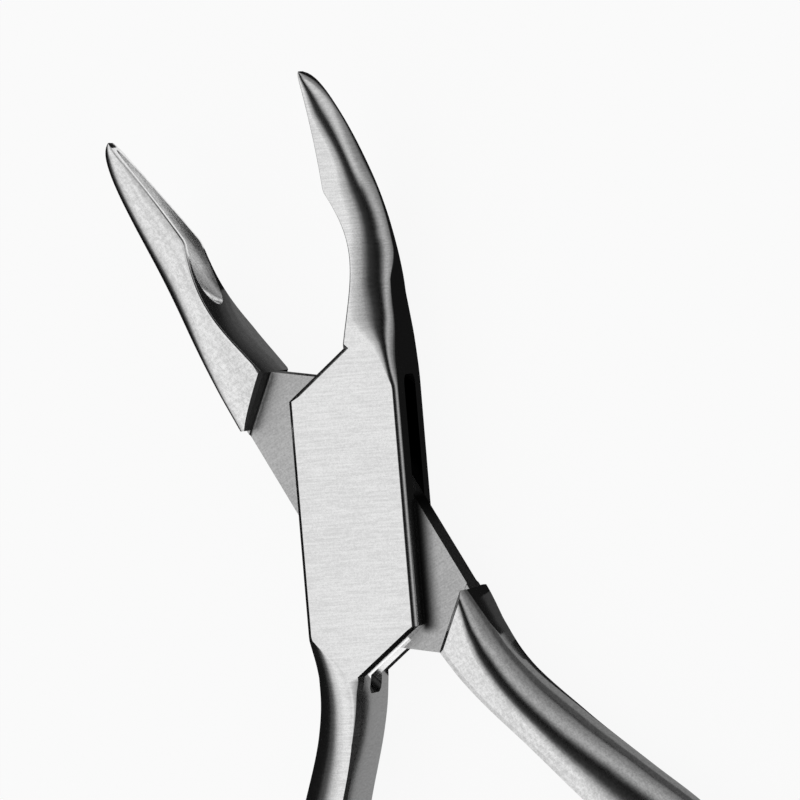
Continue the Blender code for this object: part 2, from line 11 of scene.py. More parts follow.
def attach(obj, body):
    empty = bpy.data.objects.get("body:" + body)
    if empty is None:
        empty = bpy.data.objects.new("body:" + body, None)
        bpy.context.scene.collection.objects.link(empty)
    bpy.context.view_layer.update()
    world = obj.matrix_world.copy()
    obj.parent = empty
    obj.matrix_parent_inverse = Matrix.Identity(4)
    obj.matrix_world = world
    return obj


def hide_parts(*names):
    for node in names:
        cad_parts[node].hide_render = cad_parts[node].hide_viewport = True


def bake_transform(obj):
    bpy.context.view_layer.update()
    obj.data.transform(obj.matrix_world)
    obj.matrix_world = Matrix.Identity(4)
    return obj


bl_info = {
    "name": "Bone rongeur",
    "version": (1, 0, 0),
    "blender": (4, 5, 0),
    "location": "3D View > Sidebar > Rongeur",
    "description": "Finished halves, pin, leaf springs and screws of a bone rongeur, and its stage",
    "category": "Add Mesh",
}

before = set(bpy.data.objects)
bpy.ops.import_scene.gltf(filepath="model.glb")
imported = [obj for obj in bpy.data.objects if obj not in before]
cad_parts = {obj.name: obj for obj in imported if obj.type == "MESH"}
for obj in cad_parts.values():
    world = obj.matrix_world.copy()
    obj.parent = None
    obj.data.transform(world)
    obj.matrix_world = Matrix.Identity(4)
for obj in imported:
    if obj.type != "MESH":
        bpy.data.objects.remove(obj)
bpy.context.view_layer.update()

# Steps round curves, and the pitch of a limb's sections in metres
CORNER_STEPS, END_STEPS, LEAF_STEPS = 14, 14, 72
SLOT_CORNER_STEPS, FILLET_STEPS, HEAD_STEPS = 8, 8, 6
ROUND_STEPS, CUP_SIDES = 96, 48
FINE_PITCH, COARSE_PITCH = 0.00045, 0.0012
# A length beyond any of the halves' cuts, one beyond a leaf's, and the halvings that find
# a crossing
FAR, LEAF_CUT, HALVINGS = 0.05, 0.008, 50
# How near a plane the faces that belong to it lie, and the least cosine to its normal
BESIDE, TURNED_TO, FLAT = 0.0003, 0.55, 0.999
SHARP_ANGLE = math.radians(30)

# The front corner of each limb's outer side, from the block's small bevel to a full crown.
# A station has its distance from the pivot, the corner's shares of the width and of the
# height, and the powers with which it leaves the front and meets the side
BOX_JAW_CROWN = (
    (0.0128, 0.10, 0.06, 1.0, 2.3),
    (0.0165, 0.35, 0.23, 2.5, 2.1),
    (0.0205, 0.90, 0.22, 1.6, 2.1),
    (0.0235, 0.97, 0.17, 1.8, 1.3),
    (0.0270, 0.95, 0.24, 1.8, 1.4),
    (0.0290, 0.85, 0.24, 2.0, 1.3),
    (0.0360, 0.68, 0.39, 2.3, 1.2),
    (0.0415, 0.90, 0.49, 1.6, 1.3),
)
INSERT_JAW_CROWN = (
    (0.014, 0.60, 0.08, 1.8, 1.9),
    (0.019, 0.97, 0.12, 1.8, 1.9),
    (0.024, 0.97, 0.16, 1.8, 1.9),
    (0.034, 0.97, 0.36, 1.9, 1.9),
    (0.045, 0.97, 0.45, 1.7, 1.5),
)
BOX_HANDLE_CROWN = (
    (0.0128, 0.07, 0.05, 1.0, 1.0),
    (0.0165, 0.62, 0.28, 1.9, 1.3),
    (0.0200, 0.80, 0.37, 1.8, 1.3),
    (0.0290, 0.90, 0.44, 1.5, 1.3),
    (0.0400, 0.85, 0.46, 1.6, 1.4),
)
INSERT_HANDLE_CROWN = (
    (0.013, 0.20, 0.12, 2.0, 1.0),
    (0.018, 0.48, 0.26, 2.0, 1.1),
    (0.020, 0.55, 0.32, 1.7, 1.4),
    (0.030, 0.70, 0.47, 1.5, 1.4),
    (0.040, 0.75, 0.48, 1.6, 1.4),
)
# Where the box jaw's outer side leans out to a ridge on its front, and how steeply
FLARE_START, FLARE_END, FLARE_SLOPE = 0.0235, 0.0275, 0.344

# Bevels between the front and the inner side: shares of the bevel's size across and down,
# and the same two powers
BLOCK_LEFT_BEVEL = (0.7, 0.7, 1.0, 1.0)
BLOCK_RIGHT_BEVEL = (1.03, 0.83, 1.0, 2.3)
CHAMFER_BEVEL = (1.4, 1.13, 1.0, 1.0)
BOX_JAW_BEVEL = (0.7, 0.5, 1.0, 1.0)
INSERT_JAW_BEVEL = (1.7, 0.75, 1.0, 1.25)
HANDLE_BEVEL = (1.55, 0.64, 1.0, 1.0)
# Limits on a corner's share of its limb's width and height, and on an inner bevel's of its width
WIDEST_CORNER, TALLEST_CORNER, WIDEST_BEVEL = 0.85, 0.49, 0.1
# What is left of a jaw's height, a handle's width and a hollow's size where they end
JAW_END, HANDLE_END, CUP_END = 0.4, 0.12, 0.08
HANDLE_END_LIFT = 0.3
# Where the insert half's limbs start inside the block, and where the box half's sections
# start to crowd, as shares of what they measure from
BURIED, NEAR_SHARE = 0.5, 0.8

# How far the box jaw's outer side stands out beside the insert jaw's, by distance
BOX_JAW_SWELL = (
    (0.0225, 0.0),
    (0.0272, 0.00028),
    (0.0324, 0.00042),
    (0.0376, 0.0002),
    (0.0420, 0.0),
)

# Noise in ground steel: stretch, scale, detail and roughness
GRAIN = ((0.25, 4.0, 1.0), 1400, 4.0, 0.7)
CLOUD = ((0.5, 1.0, 1.0), 160, 2.0, 0.5)
SPECK = ((1.0, 1.0, 1.0), 5200, 2.0, 0.5)
FLECK = ((1.0, 0.6, 1.0), 3300, 2.0, 0.6)
# Their parts in its tone, and how far from the middle the tone is darkest or lightest
GRAIN_PART, CLOUD_PART, SPECK_PART, TONE_LIMIT = 0.75, 0.12, 0.45, 0.2
# How much the grain varies the roughness, the specks' part in the relief, and its depth
ROUGHNESS_SWING, SPECK_RELIEF, RELIEF, RELIEF_STRENGTH = 0.4, 0.3, 0.00002, 0.2
# Painted shade where the web and the slot's floor lie under the upper plate: its colour, then for
# each an axis, where it is clear and where it is full
PAINTED_SHADE_COLOUR = (0.02, 0.02, 0.02)
WEB_PAINTED_SHADE = (("X", 0.0055, 0.0062), ("X", 0.0082, 0.0062), ("Y", -0.0133, -0.0121))
SLOT_PAINTED_SHADE = (("Y", -0.0125, -0.0105),)

# The photograph's view: degrees to the instrument's right, towards its jaws and of roll, the
# distance, the scale at the joint, the pixel of the pivot, and the width of the frame and film
VIEW_RIGHT, VIEW_RISE, VIEW_ROLL = 19.0, 1.0, 4.8
VIEW_DISTANCE, PIXELS_PER_METRE = 0.48, 9600
PIVOT_PIXEL, FRAME_PIXELS, FILM = Vector((365.3, 511.2)), 800, 36

# Light round the instrument by the angle from overhead towards its right side, in degrees
STUDIO = (
    (-100, 0.0),
    (-83, 0.07),
    (-63, 0.8),
    (-50, 1.0),
    (-38, 1.0),
    (-27, 0.85),
    (-19, 1.05),
    (-12, 0.7),
    (0, 0.5),
    (7, 0.2),
    (14, 0.03),
    (32, 0.0),
    (50, 0.5),
    (78, 0.25),
    (102, 0.0),
)
# From and to these angles on the right it also changes along the instrument: as a direction
# points more to the jaws, the light is gone, then stronger, and then as above
RIGHT_FROM, RIGHT_TO = (28, 40), (78, 96)
GONE_BEFORE, STRONGER_BEFORE, STRONGER_BY = (-0.8, -0.62), (-0.25, -0.12), 0.28
# The floor's half width, how far it and the cards lie below the instrument, and how white a
# camera sees it
FLOOR_REACH, FLOOR_DROP, CARD_DROP, FLOOR_WHITENESS = 3.0, 0.0002, 0.00015, 0.92
# Cards that only reflections show, all but the last on the table and that one in the slot:
# light, height and corners in millimetres
CARDS = (
    (0.008, 0.00, ((-2900, -2900), (2900, -2900), (2900, 2900), (-2900, 2900))),
    (0.08, 0.02, ((24, -12), (34, 16), (2800, 2800), (2800, -2800))),
    (0.23, 0.03, ((15.2, -12.2), (25, -3), (100, -88), (85, -105))),
    (0.05, 0.03, ((11.2, -9.6), (12.9, -8.65), (15.7, -13.4), (14.0, -14.4))),
    (0.30, 0.03, ((-2.4, -19.4), (3.0, -15.2), (-24.8, -130), (-35.4, -130))),
    (0.13, 0.03, ((-9.3, 15.1), (-8.13, 15.84), (-13.93, 24.74), (-15.1, 24.0))),
    (0.08, 0.03, ((-8.13, 15.84), (-7.54, 16.22), (-13.34, 25.12), (-13.93, 24.74))),
    (0.045, 0.03, ((-7.54, 16.22), (-6.96, 16.6), (-12.76, 25.5), (-13.34, 25.12))),
    (1.0, 0.03, ((-16, 29.95), (-4, 26.2), (0, 45), (-24, 45))),
    (1.2, 5.97, ((-2.4, -17.0), (-1.4, -18.2), (4.4, -13.6), (3.4, -12.4))),
)


# Sizes and colours


def length(name, description, millimetres):
    return FloatProperty(
        name=name,
        description=description,
        default=millimetres / 1000,
        min=0,
        precision=5,
        unit="LENGTH",
        subtype="DISTANCE",
    )


def angle(name, description, degrees):
    return FloatProperty(
        name=name, description=description, default=math.radians(degrees), subtype="ANGLE"
    )


def share(name, description, value):
    return FloatProperty(
        name=name, description=description, default=value, min=0, max=4, subtype="FACTOR"
    )


def colour(name, description, value):
    return FloatVectorProperty(
        name=name, description=description, default=value, size=3, min=0, max=1, subtype="COLOR"
    )


class RongeurJoint(bpy.types.PropertyGroup):
    """Sizes of the box joint, its web, its shoulders and its pin"""

    width: length("Width", "Width of the joint's block", 12.1)
    thickness: length("Thickness", "Thickness of the block and the handles", 8.2)
    chamfer_reach: length("Chamfer reach", "From the pivot to the block's chamfers", 13.2)
    chamfer_angle: angle("Chamfer angle", "Turn of a chamfer's normal from the width", 52)
    side_bevel: length("Side bevel", "Bevel along the block's sides", 0.6)
    chamfer_bevel: length("Chamfer bevel", "Bevel along the chamfers", 0.3)
    slot_reach: length("Slot reach", "From the pivot to the slot's ends", 14.35)
    slot_angle: angle("Slot angle", "Turn of the slot's ends from the width", 47.5)
    slot_corner: length("Slot corner", "Radius of the slot's corners", 0.8)
    open_angle: angle("Open angle", "Turn of the insert half from shut", 27.9)
    web_thickness: length("Web thickness", "Thickness of the web in the slot", 3.3)
    web_clearance: length("Web clearance", "Gap on each face of the web", 0.1)
    web_side_inset: length("Web side inset", "Step from the block's side to the web's", 0.1)
    web_end_gap: length("Web end gap", "From the slot's reach back to the web's", 0.83)
    jaw_shoulder_gap: length("Jaw shoulder gap", "From the chamfer to the jaw's shoulder", 0.9)
    handle_shoulder_gap: length("Handle shoulder gap", "From the chamfer to the handle's", 0.25)
    shoulder_fillet: length("Shoulder fillet", "Fillet from the web to a shoulder", 0.3)
    shoulder_bevel: length("Shoulder bevel", "Bevel along a shoulder's front edge", 0.4)
    shoulder_corner: length("Shoulder corner", "Bevel of a shoulder's outer corner", 0.6)
    web_anchor: length("Web anchor", "Depth of the web inside a limb", 1.4)
    pin_diameter: length("Pin diameter", "Diameter of the pivot pin", 5.0)
    pin_fit: length("Pin fit", "Gap round the pin in the plates", 0.02)
    web_bore_fit: length("Web bore fit", "Gap round the pin in the web", 0.05)
    pin_break: length("Pin break", "Bevel of the pin's lower edge", 0.08)


class RongeurJaw(bpy.types.PropertyGroup):
    """Sizes of a jaw, with distances from the pivot"""

    rounding_start: length("Rounding start", "Where the outer side starts to round", 12.8)
    rounding_full: length("Rounding full", "Where the rounding has its full width", 18.5)
    reach: length("Reach", "From the pivot to the tip", 45.7)
    facet_end: length("Facet end", "Where the flat outer facet runs out", 28.6)
    ogive_start: length("Ogive start", "Where the jaw starts to narrow", 17.5)
    ogive_ease: share("Ogive ease", "How late the jaw narrows", 1.5)
    ogive_fullness: share("Ogive fullness", "How full the tip is", 0.465)
    rounding: share("Rounding", "Share of the width that is rounded", 0.5)
    relief_start: length("Relief start", "Where the inner relief starts", 14.0)
    relief_depth: length("Relief depth", "Depth of the inner relief", 1.95)
    relief_skew: share("Relief skew", "How far the relief leans to the tip", 1.52)
    relief_back_share: share("Relief back share", "Depth of the relief at the back", 0.76)
    edge_heel: length("Edge heel", "Where the cutting edges start", 33.4)
    edge_gap: length("Edge gap", "Half the gap between the shut edges", 0.05)
    edge_land: length("Edge land", "Flat on the cutting edge", 0.06)
    bevel: length("Bevel", "Bevel along the inner edges", 0.2)
    front_lift_start: length("Front lift start", "Where the front starts to rise", 26.0)
    front_lift: length("Front lift", "Rise of the front at the tip", 5.9)
    front_lift_power: share("Front lift power", "How late the front rises", 1.95)
    back_lift_start: length("Back lift start", "Where the back starts to rise", 23.5)
    back_lift_power: share("Back lift power", "How late the back rises", 1.35)
    tip_thickness: length("Tip thickness", "Thickness at the tip", 2.4)
    tip_rounding: length("Tip rounding", "Length of the rounded tip", 1.2)
    tip_land: length("Tip land", "Least width at the tip", 0.3)
    cup_start: length("Cup start", "Where the hollow starts", 26.0)
    cup_start_rounding: length("Cup start rounding", "Length of the hollow's run-in", 5.0)
    cup_tip_wall: length("Cup tip wall", "Wall left at the tip", 0.9)
    cup_end_rounding: length("Cup end rounding", "Length of the hollow's run-out", 4.0)
    cup_heel_depth: length("Cup heel depth", "Depth of the hollow at the heel", 3.2)
    cup_tip_depth: length("Cup tip depth", "Depth of the hollow at the tip", 1.1)
    cup_rim: length("Cup rim", "Rim left beside the hollow", 0.5)


class RongeurHandle(bpy.types.PropertyGroup):
    """Sizes of a handle, with distances from the pivot"""

    reach: length("Reach", "From the pivot to the handle's end", 115)
    root: length("Root", "Where the handle leaves the joint", 17.0)
    bow_offset: length("Bow offset", "Inner side's offset at the bow", 14.8)
    flat_reach: length("Flat reach", "Half the flat under a spring's foot", 8.0)
    facet_end: length("Facet end", "Where the flat outer facet runs out", 23.5)
    rounding_near: share("Rounding near", "Rounded share of the width near the joint", 0.5)
    rounding_far: share("Rounding far", "Rounded share of the width in the grip", 0.74)
    rounding_end: length("Rounding end", "Where the grip's rounding is reached", 36.0)
    bevel: length("Bevel", "Bevel along the inner edges", 0.4)
    lean: length("Lean", "How far the box half's inner side leans back to its front", 0.2)
    lean_run: length("Lean run", "Length over which that lean comes", 2.0)
    end_rounding: length("End rounding", "Length of the rounded end", 4.5)


class RongeurSpring(bpy.types.PropertyGroup):
    """Sizes of the leaf springs and their screws"""

    foot_reach: length("Foot reach", "Half the foot's length, from its screw", 6.5)
    foot_thickness: length("Foot thickness", "Thickness of the foot", 1.4)
    tip_thickness: length("Tip thickness", "Thickness at the tip", 0.9)
    width: length("Width", "Width of a leaf", 6.0)
    seat_gap: length("Seat gap", "Gap between foot and handle", 0.05)
    meeting: length("Meeting", "From the pivot to where the leaves meet", 40)
    overrun: length("Overrun", "Length of a tip past the meeting", 1.8)
    tip_heading: angle("Tip heading", "Turn of a tip from square to the middle line", 32)
    foot_pull: share("Foot pull", "Straightness at the foot", 0.42)
    tip_pull: share("Tip pull", "Straightness at the tip", 0.285)
    tongue_width: length("Tongue width", "Width of the tongue", 2.0)
    tongue_length: length("Tongue length", "Length of the tongue", 4.5)
    tongue_clearance: length("Tongue clearance", "Gap beside the tongue", 0.3)
    screw_position: length("Screw position", "From the pivot to the screws", 82)
    screw_diameter: length("Screw diameter", "Diameter of a screw's shank", 2.0)
    screw_clearance: length("Screw clearance", "Gap round a shank", 0.1)
    screw_depth: length("Screw depth", "Length of a shank in the handle", 4.2)
    hole_spare: length("Hole spare", "Depth of a hole past its screw", 0.3)
    hole_clearance: length("Hole clearance", "Gap round a shank in a leaf's foot", 0.2)
    point: length("Point", "Length of a shank's tapered point", 0.3)
    head_diameter: length("Head diameter", "Diameter of a screw's head", 3.8)
    head_height: length("Head height", "Height of a screw's head", 1.1)
    head_bevel: length("Head bevel", "Rounding of a head's top edge", 0.3)
    head_break: length("Head break", "Bevel of a head's lower edge", 0.075)
    edge_break: length("Edge break", "Bevel along a leaf's edges", 0.12)
    drive_width: length("Drive width", "Width of the driver's slot", 0.6)
    drive_depth: length("Drive depth", "Depth of the driver's slot", 0.5)


class RongeurFinish(bpy.types.PropertyGroup):
    """Colours and roughness of the steels, and the floor"""

    satin: colour("Satin steel", "Colour of the two halves and the pin", (0.74, 0.74, 0.74))
    web: colour("Web steel", "Colour of the web in the slot", (0.53, 0.53, 0.53))
    hollow: colour("Hollow steel", "Colour of the jaws' hollows", (0.72, 0.72, 0.72))
    # Painted shade: a near-black painted inside the slot, on the jaw's shoulder and along a
    # chamfer's bevel, where shade falls
    dark: colour("Dark steel", "Colour inside the slot and on the shoulders", (0.05, 0.05, 0.05))
    spring: colour("Spring steel", "Colour of the leaf springs", (0.66, 0.67, 0.68))
    screw: colour("Screw steel", "Colour of the spring screws", (0.70, 0.70, 0.71))
    floor: colour("Floor", "Colour of the floor", (0.86, 0.86, 0.86))


class RongeurSettings(bpy.types.PropertyGroup):
    """Everything that can be set on the rongeur"""

    joint: PointerProperty(type=RongeurJoint, name="Joint")
    jaw: PointerProperty(type=RongeurJaw, name="Jaw")
    handle: PointerProperty(type=RongeurHandle, name="Handle")
    spring: PointerProperty(type=RongeurSpring, name="Spring")
    finish: PointerProperty(type=RongeurFinish, name="Finish")


# Outline of a limb, drawn with its outer side at +X and y the distance from the pivot


def clamp(value, low=0.0, high=1.0):
    return max(low, min(high, value))


def ease(value):
    value = clamp(value)
    return value * value * (3 - 2 * value)


def blend(low, high, amount):
    return low + (high - low) * amount


def direction(turn):
    return Vector((math.cos(turn), math.sin(turn), 0.0))


def through(points, place):
    """Value at a place of a smooth curve through the points, which never overshoots them."""
    if place <= points[0][0]:
        return points[0][1]
    if place >= points[-1][0]:
        return points[-1][1]
    slopes = [(b[1] - a[1]) / (b[0] - a[0]) for a, b in zip(points, points[1:])]
    tangents = [slopes[0]]
    for before, after in zip(slopes, slopes[1:]):
        same_way = before * after > 0
        tangents.append(2 * before * after / (before + after) if same_way else 0.0)
    tangents.append(slopes[-1])
    index = max(i for i, point in enumerate(points) if point[0] <= place)
    (x0, y0), (x1, y1) = points[index], points[index + 1]
    span = x1 - x0
    t = (place - x0) / span
    value = y0 * (1 + 2 * t) * (1 - t) ** 2 + y1 * t * t * (3 - 2 * t)
    return value + span * t * (1 - t) * (tangents[index] * (1 - t) - tangents[index + 1] * t)


def stations(marks, pitch):
    """Places from the first mark to the last, with one on every mark."""
    places = []
    for low, high in zip(marks, marks[1:]):
        steps = max(1, round((high - low) / pitch))
        places += [blend(low, high, k / steps) for k in range(steps)]
    return places + [marks[-1]]


def rounded_end(run, end, steps):
    """Places that crowd towards a rounded end."""
    return [end - run * (1 - math.sin(math.pi / 2 * k / steps)) for k in range(1, steps + 1)]


def jaw_outer(s, y):
    t = clamp((y - s.jaw.ogive_start) / (s.jaw.reach - s.jaw.ogive_start))
    full = s.joint.width / 2 * (1 - t**s.jaw.ogive_ease) ** s.jaw.ogive_fullness
    return max(full, s.jaw.edge_gap + s.jaw.tip_land)


def jaw_inner(s, y, part=1.0):
    t = clamp((y - s.jaw.relief_start) / (s.jaw.edge_heel - s.jaw.relief_start))
    return s.jaw.edge_gap + part * s.jaw.relief_depth * math.sin(math.pi * t**s.jaw.relief_skew)


def jaw_front(s, y):
    t = clamp((y - s.jaw.front_lift_start) / (s.jaw.reach - s.jaw.front_lift_start))
    return s.joint.thickness + s.jaw.front_lift * t**s.jaw.front_lift_power


def jaw_back(s, y):
    t = clamp((y - s.jaw.back_lift_start) / (s.jaw.reach - s.jaw.back_lift_start))
    lift = s.joint.thickness + s.jaw.front_lift - s.jaw.tip_thickness
    return lift * t**s.jaw.back_lift_power


def handle_inner_points(s):
    flat_start = s.spring.screw_position - s.handle.flat_reach
    flat_end = s.spring.screw_position + s.handle.flat_reach
    return (
        (s.handle.root, 0.00025),
        (0.0200, 0.0006),
        (0.0230, 0.0012),
        (0.0300, 0.0032),
        (0.0380, 0.0054),
        (0.0440, 0.0073),
        ((0.0440 + flat_start) / 2, 0.0117),
        (flat_start, s.handle.bow_offset),
        (flat_end, s.handle.bow_offset),
        ((flat_end + s.handle.reach) / 2, 0.0135),
        (s.handle.reach, 0.0108),
    )


def handle_width_points(s):
    return (
        (s.handle.root, s.joint.width / 2 - 0.00025),
        (0.0230, 0.0057),
        (0.0300, 0.0060),
        (0.0380, 0.0069),
        (0.0440, 0.0074),
        (0.0700, 0.0077),
        (s.handle.reach, 0.0079),
    )


def handle_inner(s, y):
    return through(handle_inner_points(s), y)


def handle_outer(s, y):
    if y < s.handle.root:
        return s.joint.width / 2
    return handle_inner(s, y) + through(handle_width_points(s), y)


def chamfer_at(s, y):
    normal = direction(math.pi - s.joint.chamfer_angle)
    return (s.joint.chamfer_reach - normal.y * y) / normal.x


def far_side(s, y, inner_x):
    """The side opposite the limb's outer one: the block's side, its chamfer, then inner_x."""
    return max(min(chamfer_at(s, y), inner_x), -s.joint.width / 2)


def chamfer_marks(s, inner):
    """Where the chamfer starts on the block's side, and where it meets the inner side."""
    normal = direction(math.pi - s.joint.chamfer_angle)
    start = (s.joint.chamfer_reach + normal.x * s.joint.width / 2) / normal.y
    low, high = start, s.joint.chamfer_reach / normal.y + s.joint.width / 2
    for _ in range(HALVINGS):
        middle = (low + high) / 2
        if chamfer_at(s, middle) < inner(s, middle):
            low = middle
        else:
            high = middle
    return start, high


def corner(x, z, out_x, out_z, size, backwards):
    """Points round one corner of a section. Size is its width and height, and the powers
    with which it leaves the front and meets the side: 1 and 1 a bevel, 2 and 2 an ellipse."""
    width, height, onset, close = size
    points = []
    for k in range(CORNER_STEPS + 1):
        across = math.sin(k / CORNER_STEPS * math.pi / 2)
        drop = 1 - (1 - across**onset) ** (1 / close)
        points.append((x - out_x * width * (1 - across), z - out_z * height * drop))
    return points if backwards else points[::-1]


def section(y, inner_xs, outer_xs, heights, inner_size, outer_sizes):
    """A limb's outline at one distance from the pivot. Each pair is for its back and its front."""
    (inner_back, inner_front), (outer_back, outer_front) = inner_xs, outer_xs
    back, front = heights
    outline = corner(outer_back, back, 1, -1, outer_sizes[0], True)
    outline += corner(outer_front, front, 1, 1, outer_sizes[1], False)
    outline += corner(inner_front, front, -1, 1, inner_size, True)
    outline += corner(inner_back, back, -1, -1, inner_size, False)
    return [Vector((x, y, z)) for x, z in outline]


def outer_rounding(s, y, width, height, part, facet_end, crown):
    """How far a limb's outer side leans out to the front, and the sizes of its two corners."""
    start, full = s.jaw.rounding_start, s.jaw.rounding_full
    grown = ease((y - start) / (full - start))
    raised = ease((y - start) / (facet_end - start))
    across = min(blend(s.joint.side_bevel, part * width, grown), WIDEST_CORNER * width)
    tallest = TALLEST_CORNER * height
    up = min(blend(s.joint.side_bevel, tallest, raised), tallest)
    rows = [[(row[0], row[column]) for row in crown] for column in range(1, 5)]
    share_across, share_up, onset, close = (through(row, y) for row in rows)
    drop = share_up * height
    flare = FLARE_SLOPE * max(0.0, height - up - drop) if crown is BOX_JAW_CROWN else 0.0
    flare *= ease((y - FLARE_START) / (FLARE_END - FLARE_START))
    front = (share_across * (width + flare), drop, onset, close)
    return flare, ((across, up, 1 + grown, 1 + grown), front)


def sized(shape, size):
    """A bevel of one of the shapes above, in its real size."""
    across, up, onset, close = shape
    return across * size, up * size, onset, close


def inner_bevel(s, y, marks, width, block_shape, limb_bevel):
    """The bevel along the block's side, then along its chamfer and then along the limb."""
    start, end = marks
    if y <= start:
        return sized(block_shape, s.joint.side_bevel)
    if y <= end:
        across, up, onset, close = sized(CHAMFER_BEVEL, s.joint.chamfer_bevel)
        return across / abs(direction(s.joint.chamfer_angle).x), up, onset, close
    across, up, onset, close = limb_bevel
    most = WIDEST_BEVEL * width
    return min(across, most), min(up, most), onset, close


def jaw_section(s, y, whole):
    """Section of a jaw, or of the whole box half above the pivot."""
    inner, inner_back = jaw_inner(s, y), jaw_inner(s, y, s.jaw.relief_back_share)
    if whole:
        inner, inner_back = far_side(s, y, inner), far_side(s, y, inner_back)
    outer = max(jaw_outer(s, y), inner + s.jaw.tip_land)
    if whole:
        outer += through(BOX_JAW_SWELL, y)
    front, back = jaw_front(s, y), jaw_back(s, y)
    past = clamp((y - (s.jaw.reach - s.jaw.tip_rounding)) / s.jaw.tip_rounding)
    middle = (front + back) / 2
    half = (front - back) / 2 * blend(JAW_END, 1.0, math.sqrt(1 - past * past))
    width = outer - max(inner, 0.0)
    marks = chamfer_marks(s, jaw_inner) if whole else (0.0, 0.0)
    crown = BOX_JAW_CROWN if whole else INSERT_JAW_CROWN
    if whole:
        fading = ease((y - s.jaw.rounding_full) / (s.jaw.edge_heel - s.jaw.rounding_full))
        bevel = sized(BOX_JAW_BEVEL, blend(s.jaw.bevel, s.jaw.edge_land, fading))
    else:
        past_heel = ease((y - s.jaw.edge_heel) / s.jaw.cup_end_rounding)
        bevel = sized(INSERT_JAW_BEVEL, blend(s.jaw.bevel, s.jaw.bevel / 2, past_heel))
    flare, corners = outer_rounding(
        s, y, width, 2 * half, s.jaw.rounding, s.jaw.facet_end, crown
    )
    return section(
        y,
        (inner_back, inner),
        (outer, outer + flare),
        (middle - half, middle + half),
        inner_bevel(s, y, marks, width, BLOCK_LEFT_BEVEL, bevel),
        corners,
    )


def handle_section(s, y, whole):
    """Section of a handle, or of the whole box half below the pivot."""
    outer = handle_outer(s, y)
    inner = far_side(s, y, handle_inner(s, y)) if whole else handle_inner(s, y)
    run = s.handle.end_rounding
    past = clamp((y - (s.handle.reach - run)) / run)
    narrowing = blend(HANDLE_END, 1.0, math.sqrt(1 - past * past))
    if past > 0:
        middle, half_span = (inner + outer) / 2, (outer - inner) / 2
        inner, outer = middle - half_span * narrowing, middle + half_span * narrowing
    lift = (1 - narrowing) * HANDLE_END_LIFT * s.joint.thickness
    width = outer - max(inner, 0.0)
    grip = ease((y - s.jaw.rounding_full) / (s.handle.rounding_end - s.jaw.rounding_full))
    part = blend(s.handle.rounding_near, s.handle.rounding_far, grip)
    marks = chamfer_marks(s, handle_inner) if whole else (0.0, 0.0)
    crown = BOX_HANDLE_CROWN if whole else INSERT_HANDLE_CROWN
    height = s.joint.thickness - 2 * lift
    bevel = sized(HANDLE_BEVEL, s.handle.bevel)
    _, corners = outer_rounding(s, y, width, height, part, s.handle.facet_end, crown)
    leaning = ease((y - marks[1]) / s.handle.lean_run) if whole else 0.0
    return section(
        y,
        (inner, inner + s.handle.lean * leaning),
        (outer, outer),
        (lift, s.joint.thickness - lift),
        inner_bevel(s, y, marks, width, BLOCK_RIGHT_BEVEL, bevel),
        corners,
    )


# Mesh tools


def loft(rings):
    """A closed solid through rings of equally many points, by extruding ring after ring."""
    mesh = bmesh.new()
    made = bmesh.ops.create_circle(mesh, cap_ends=False, radius=1.0, segments=len(rings[0]))
    ring = made["verts"]
    for vertex, point in zip(ring, rings[0]):
        vertex.co = point
    first = list(ring)
    for points in rings[1:]:
        edges = [mesh.edges.get((a, b)) for a, b in zip(ring, ring[1:] + ring[:1])]
        made = bmesh.ops.extrude_edge_only(mesh, edges=edges)
        copies = [item for item in made["geom"] if isinstance(item, bmesh.types.BMVert)]
        at_place = {tuple(vertex.co): vertex for vertex in copies}
        ring = [at_place[tuple(vertex.co)] for vertex in ring]
        for vertex, point in zip(ring, points):
            vertex.co = point
    bmesh.ops.triangulate(mesh, faces=mesh.faces)
    mesh.faces.new(first)
    mesh.faces.new(ring)
    bmesh.ops.recalc_face_normals(mesh, faces=mesh.faces)
    return mesh


def cut_flat(mesh, point, normal):
    """Removes what lies behind a plane and closes the cut."""
    geometry = list(mesh.verts) + list(mesh.edges) + list(mesh.faces)
    made = bmesh.ops.bisect_plane(
        mesh, geom=geometry, dist=1e-8, plane_co=point, plane_no=normal, clear_inner=True
    )
    edges = [item for item in made["geom_cut"] if isinstance(item, bmesh.types.BMEdge)]
    bmesh.ops.contextual_create(mesh, geom=edges)


def block(size, place):
    mesh = bmesh.new()
    bmesh.ops.create_cube(mesh, size=1.0)
    bmesh.ops.transform(mesh, matrix=place @ Matrix.Diagonal((*size, 1.0)), verts=mesh.verts)
    return mesh


def lathe(profile, place):
    """A solid turned round Z from a profile of (radius, height) that starts and ends on Z."""
    mesh = bmesh.new()
    points = [mesh.verts.new((radius, 0.0, height)) for radius, height in profile]
    edges = [mesh.edges.new(pair) for pair in zip(points, points[1:])]
    bmesh.ops.spin(
        mesh,
        geom=points + edges,
        axis=(0, 0, 1),
        cent=(0, 0, 0),
        angle=math.tau,
        steps=ROUND_STEPS,
        use_merge=True,
    )
    bmesh.ops.remove_doubles(mesh, verts=mesh.verts, dist=1e-7)
    bmesh.ops.recalc_face_normals(mesh, faces=mesh.faces)
    bmesh.ops.transform(mesh, matrix=place, verts=mesh.verts)
    return mesh


def mirrored(mesh):
    bmesh.ops.scale(mesh, vec=(-1, 1, 1), verts=mesh.verts)
    bmesh.ops.reverse_faces(mesh, faces=mesh.faces)
    return mesh


def rotated(mesh, turn):
    bmesh.ops.rotate(mesh, matrix=Matrix.Rotation(turn, 3, "Z"), verts=mesh.verts)
    return mesh


def along_x(s, x, y):
    """Turns a piece built round Z so that its +Z points along +X from the place given."""
    place = Matrix.Translation((x, y, s.joint.thickness / 2))
    return place @ Matrix.Rotation(math.pi / 2, 4, "Y")


def new_object(name, mesh, material):
    data = bpy.data.meshes.new(name)
    mesh.to_mesh(data)
    mesh.free()
    made = bpy.data.objects.new(name, data)
    bpy.context.scene.collection.objects.link(made)
    data.materials.append(material)
    return made


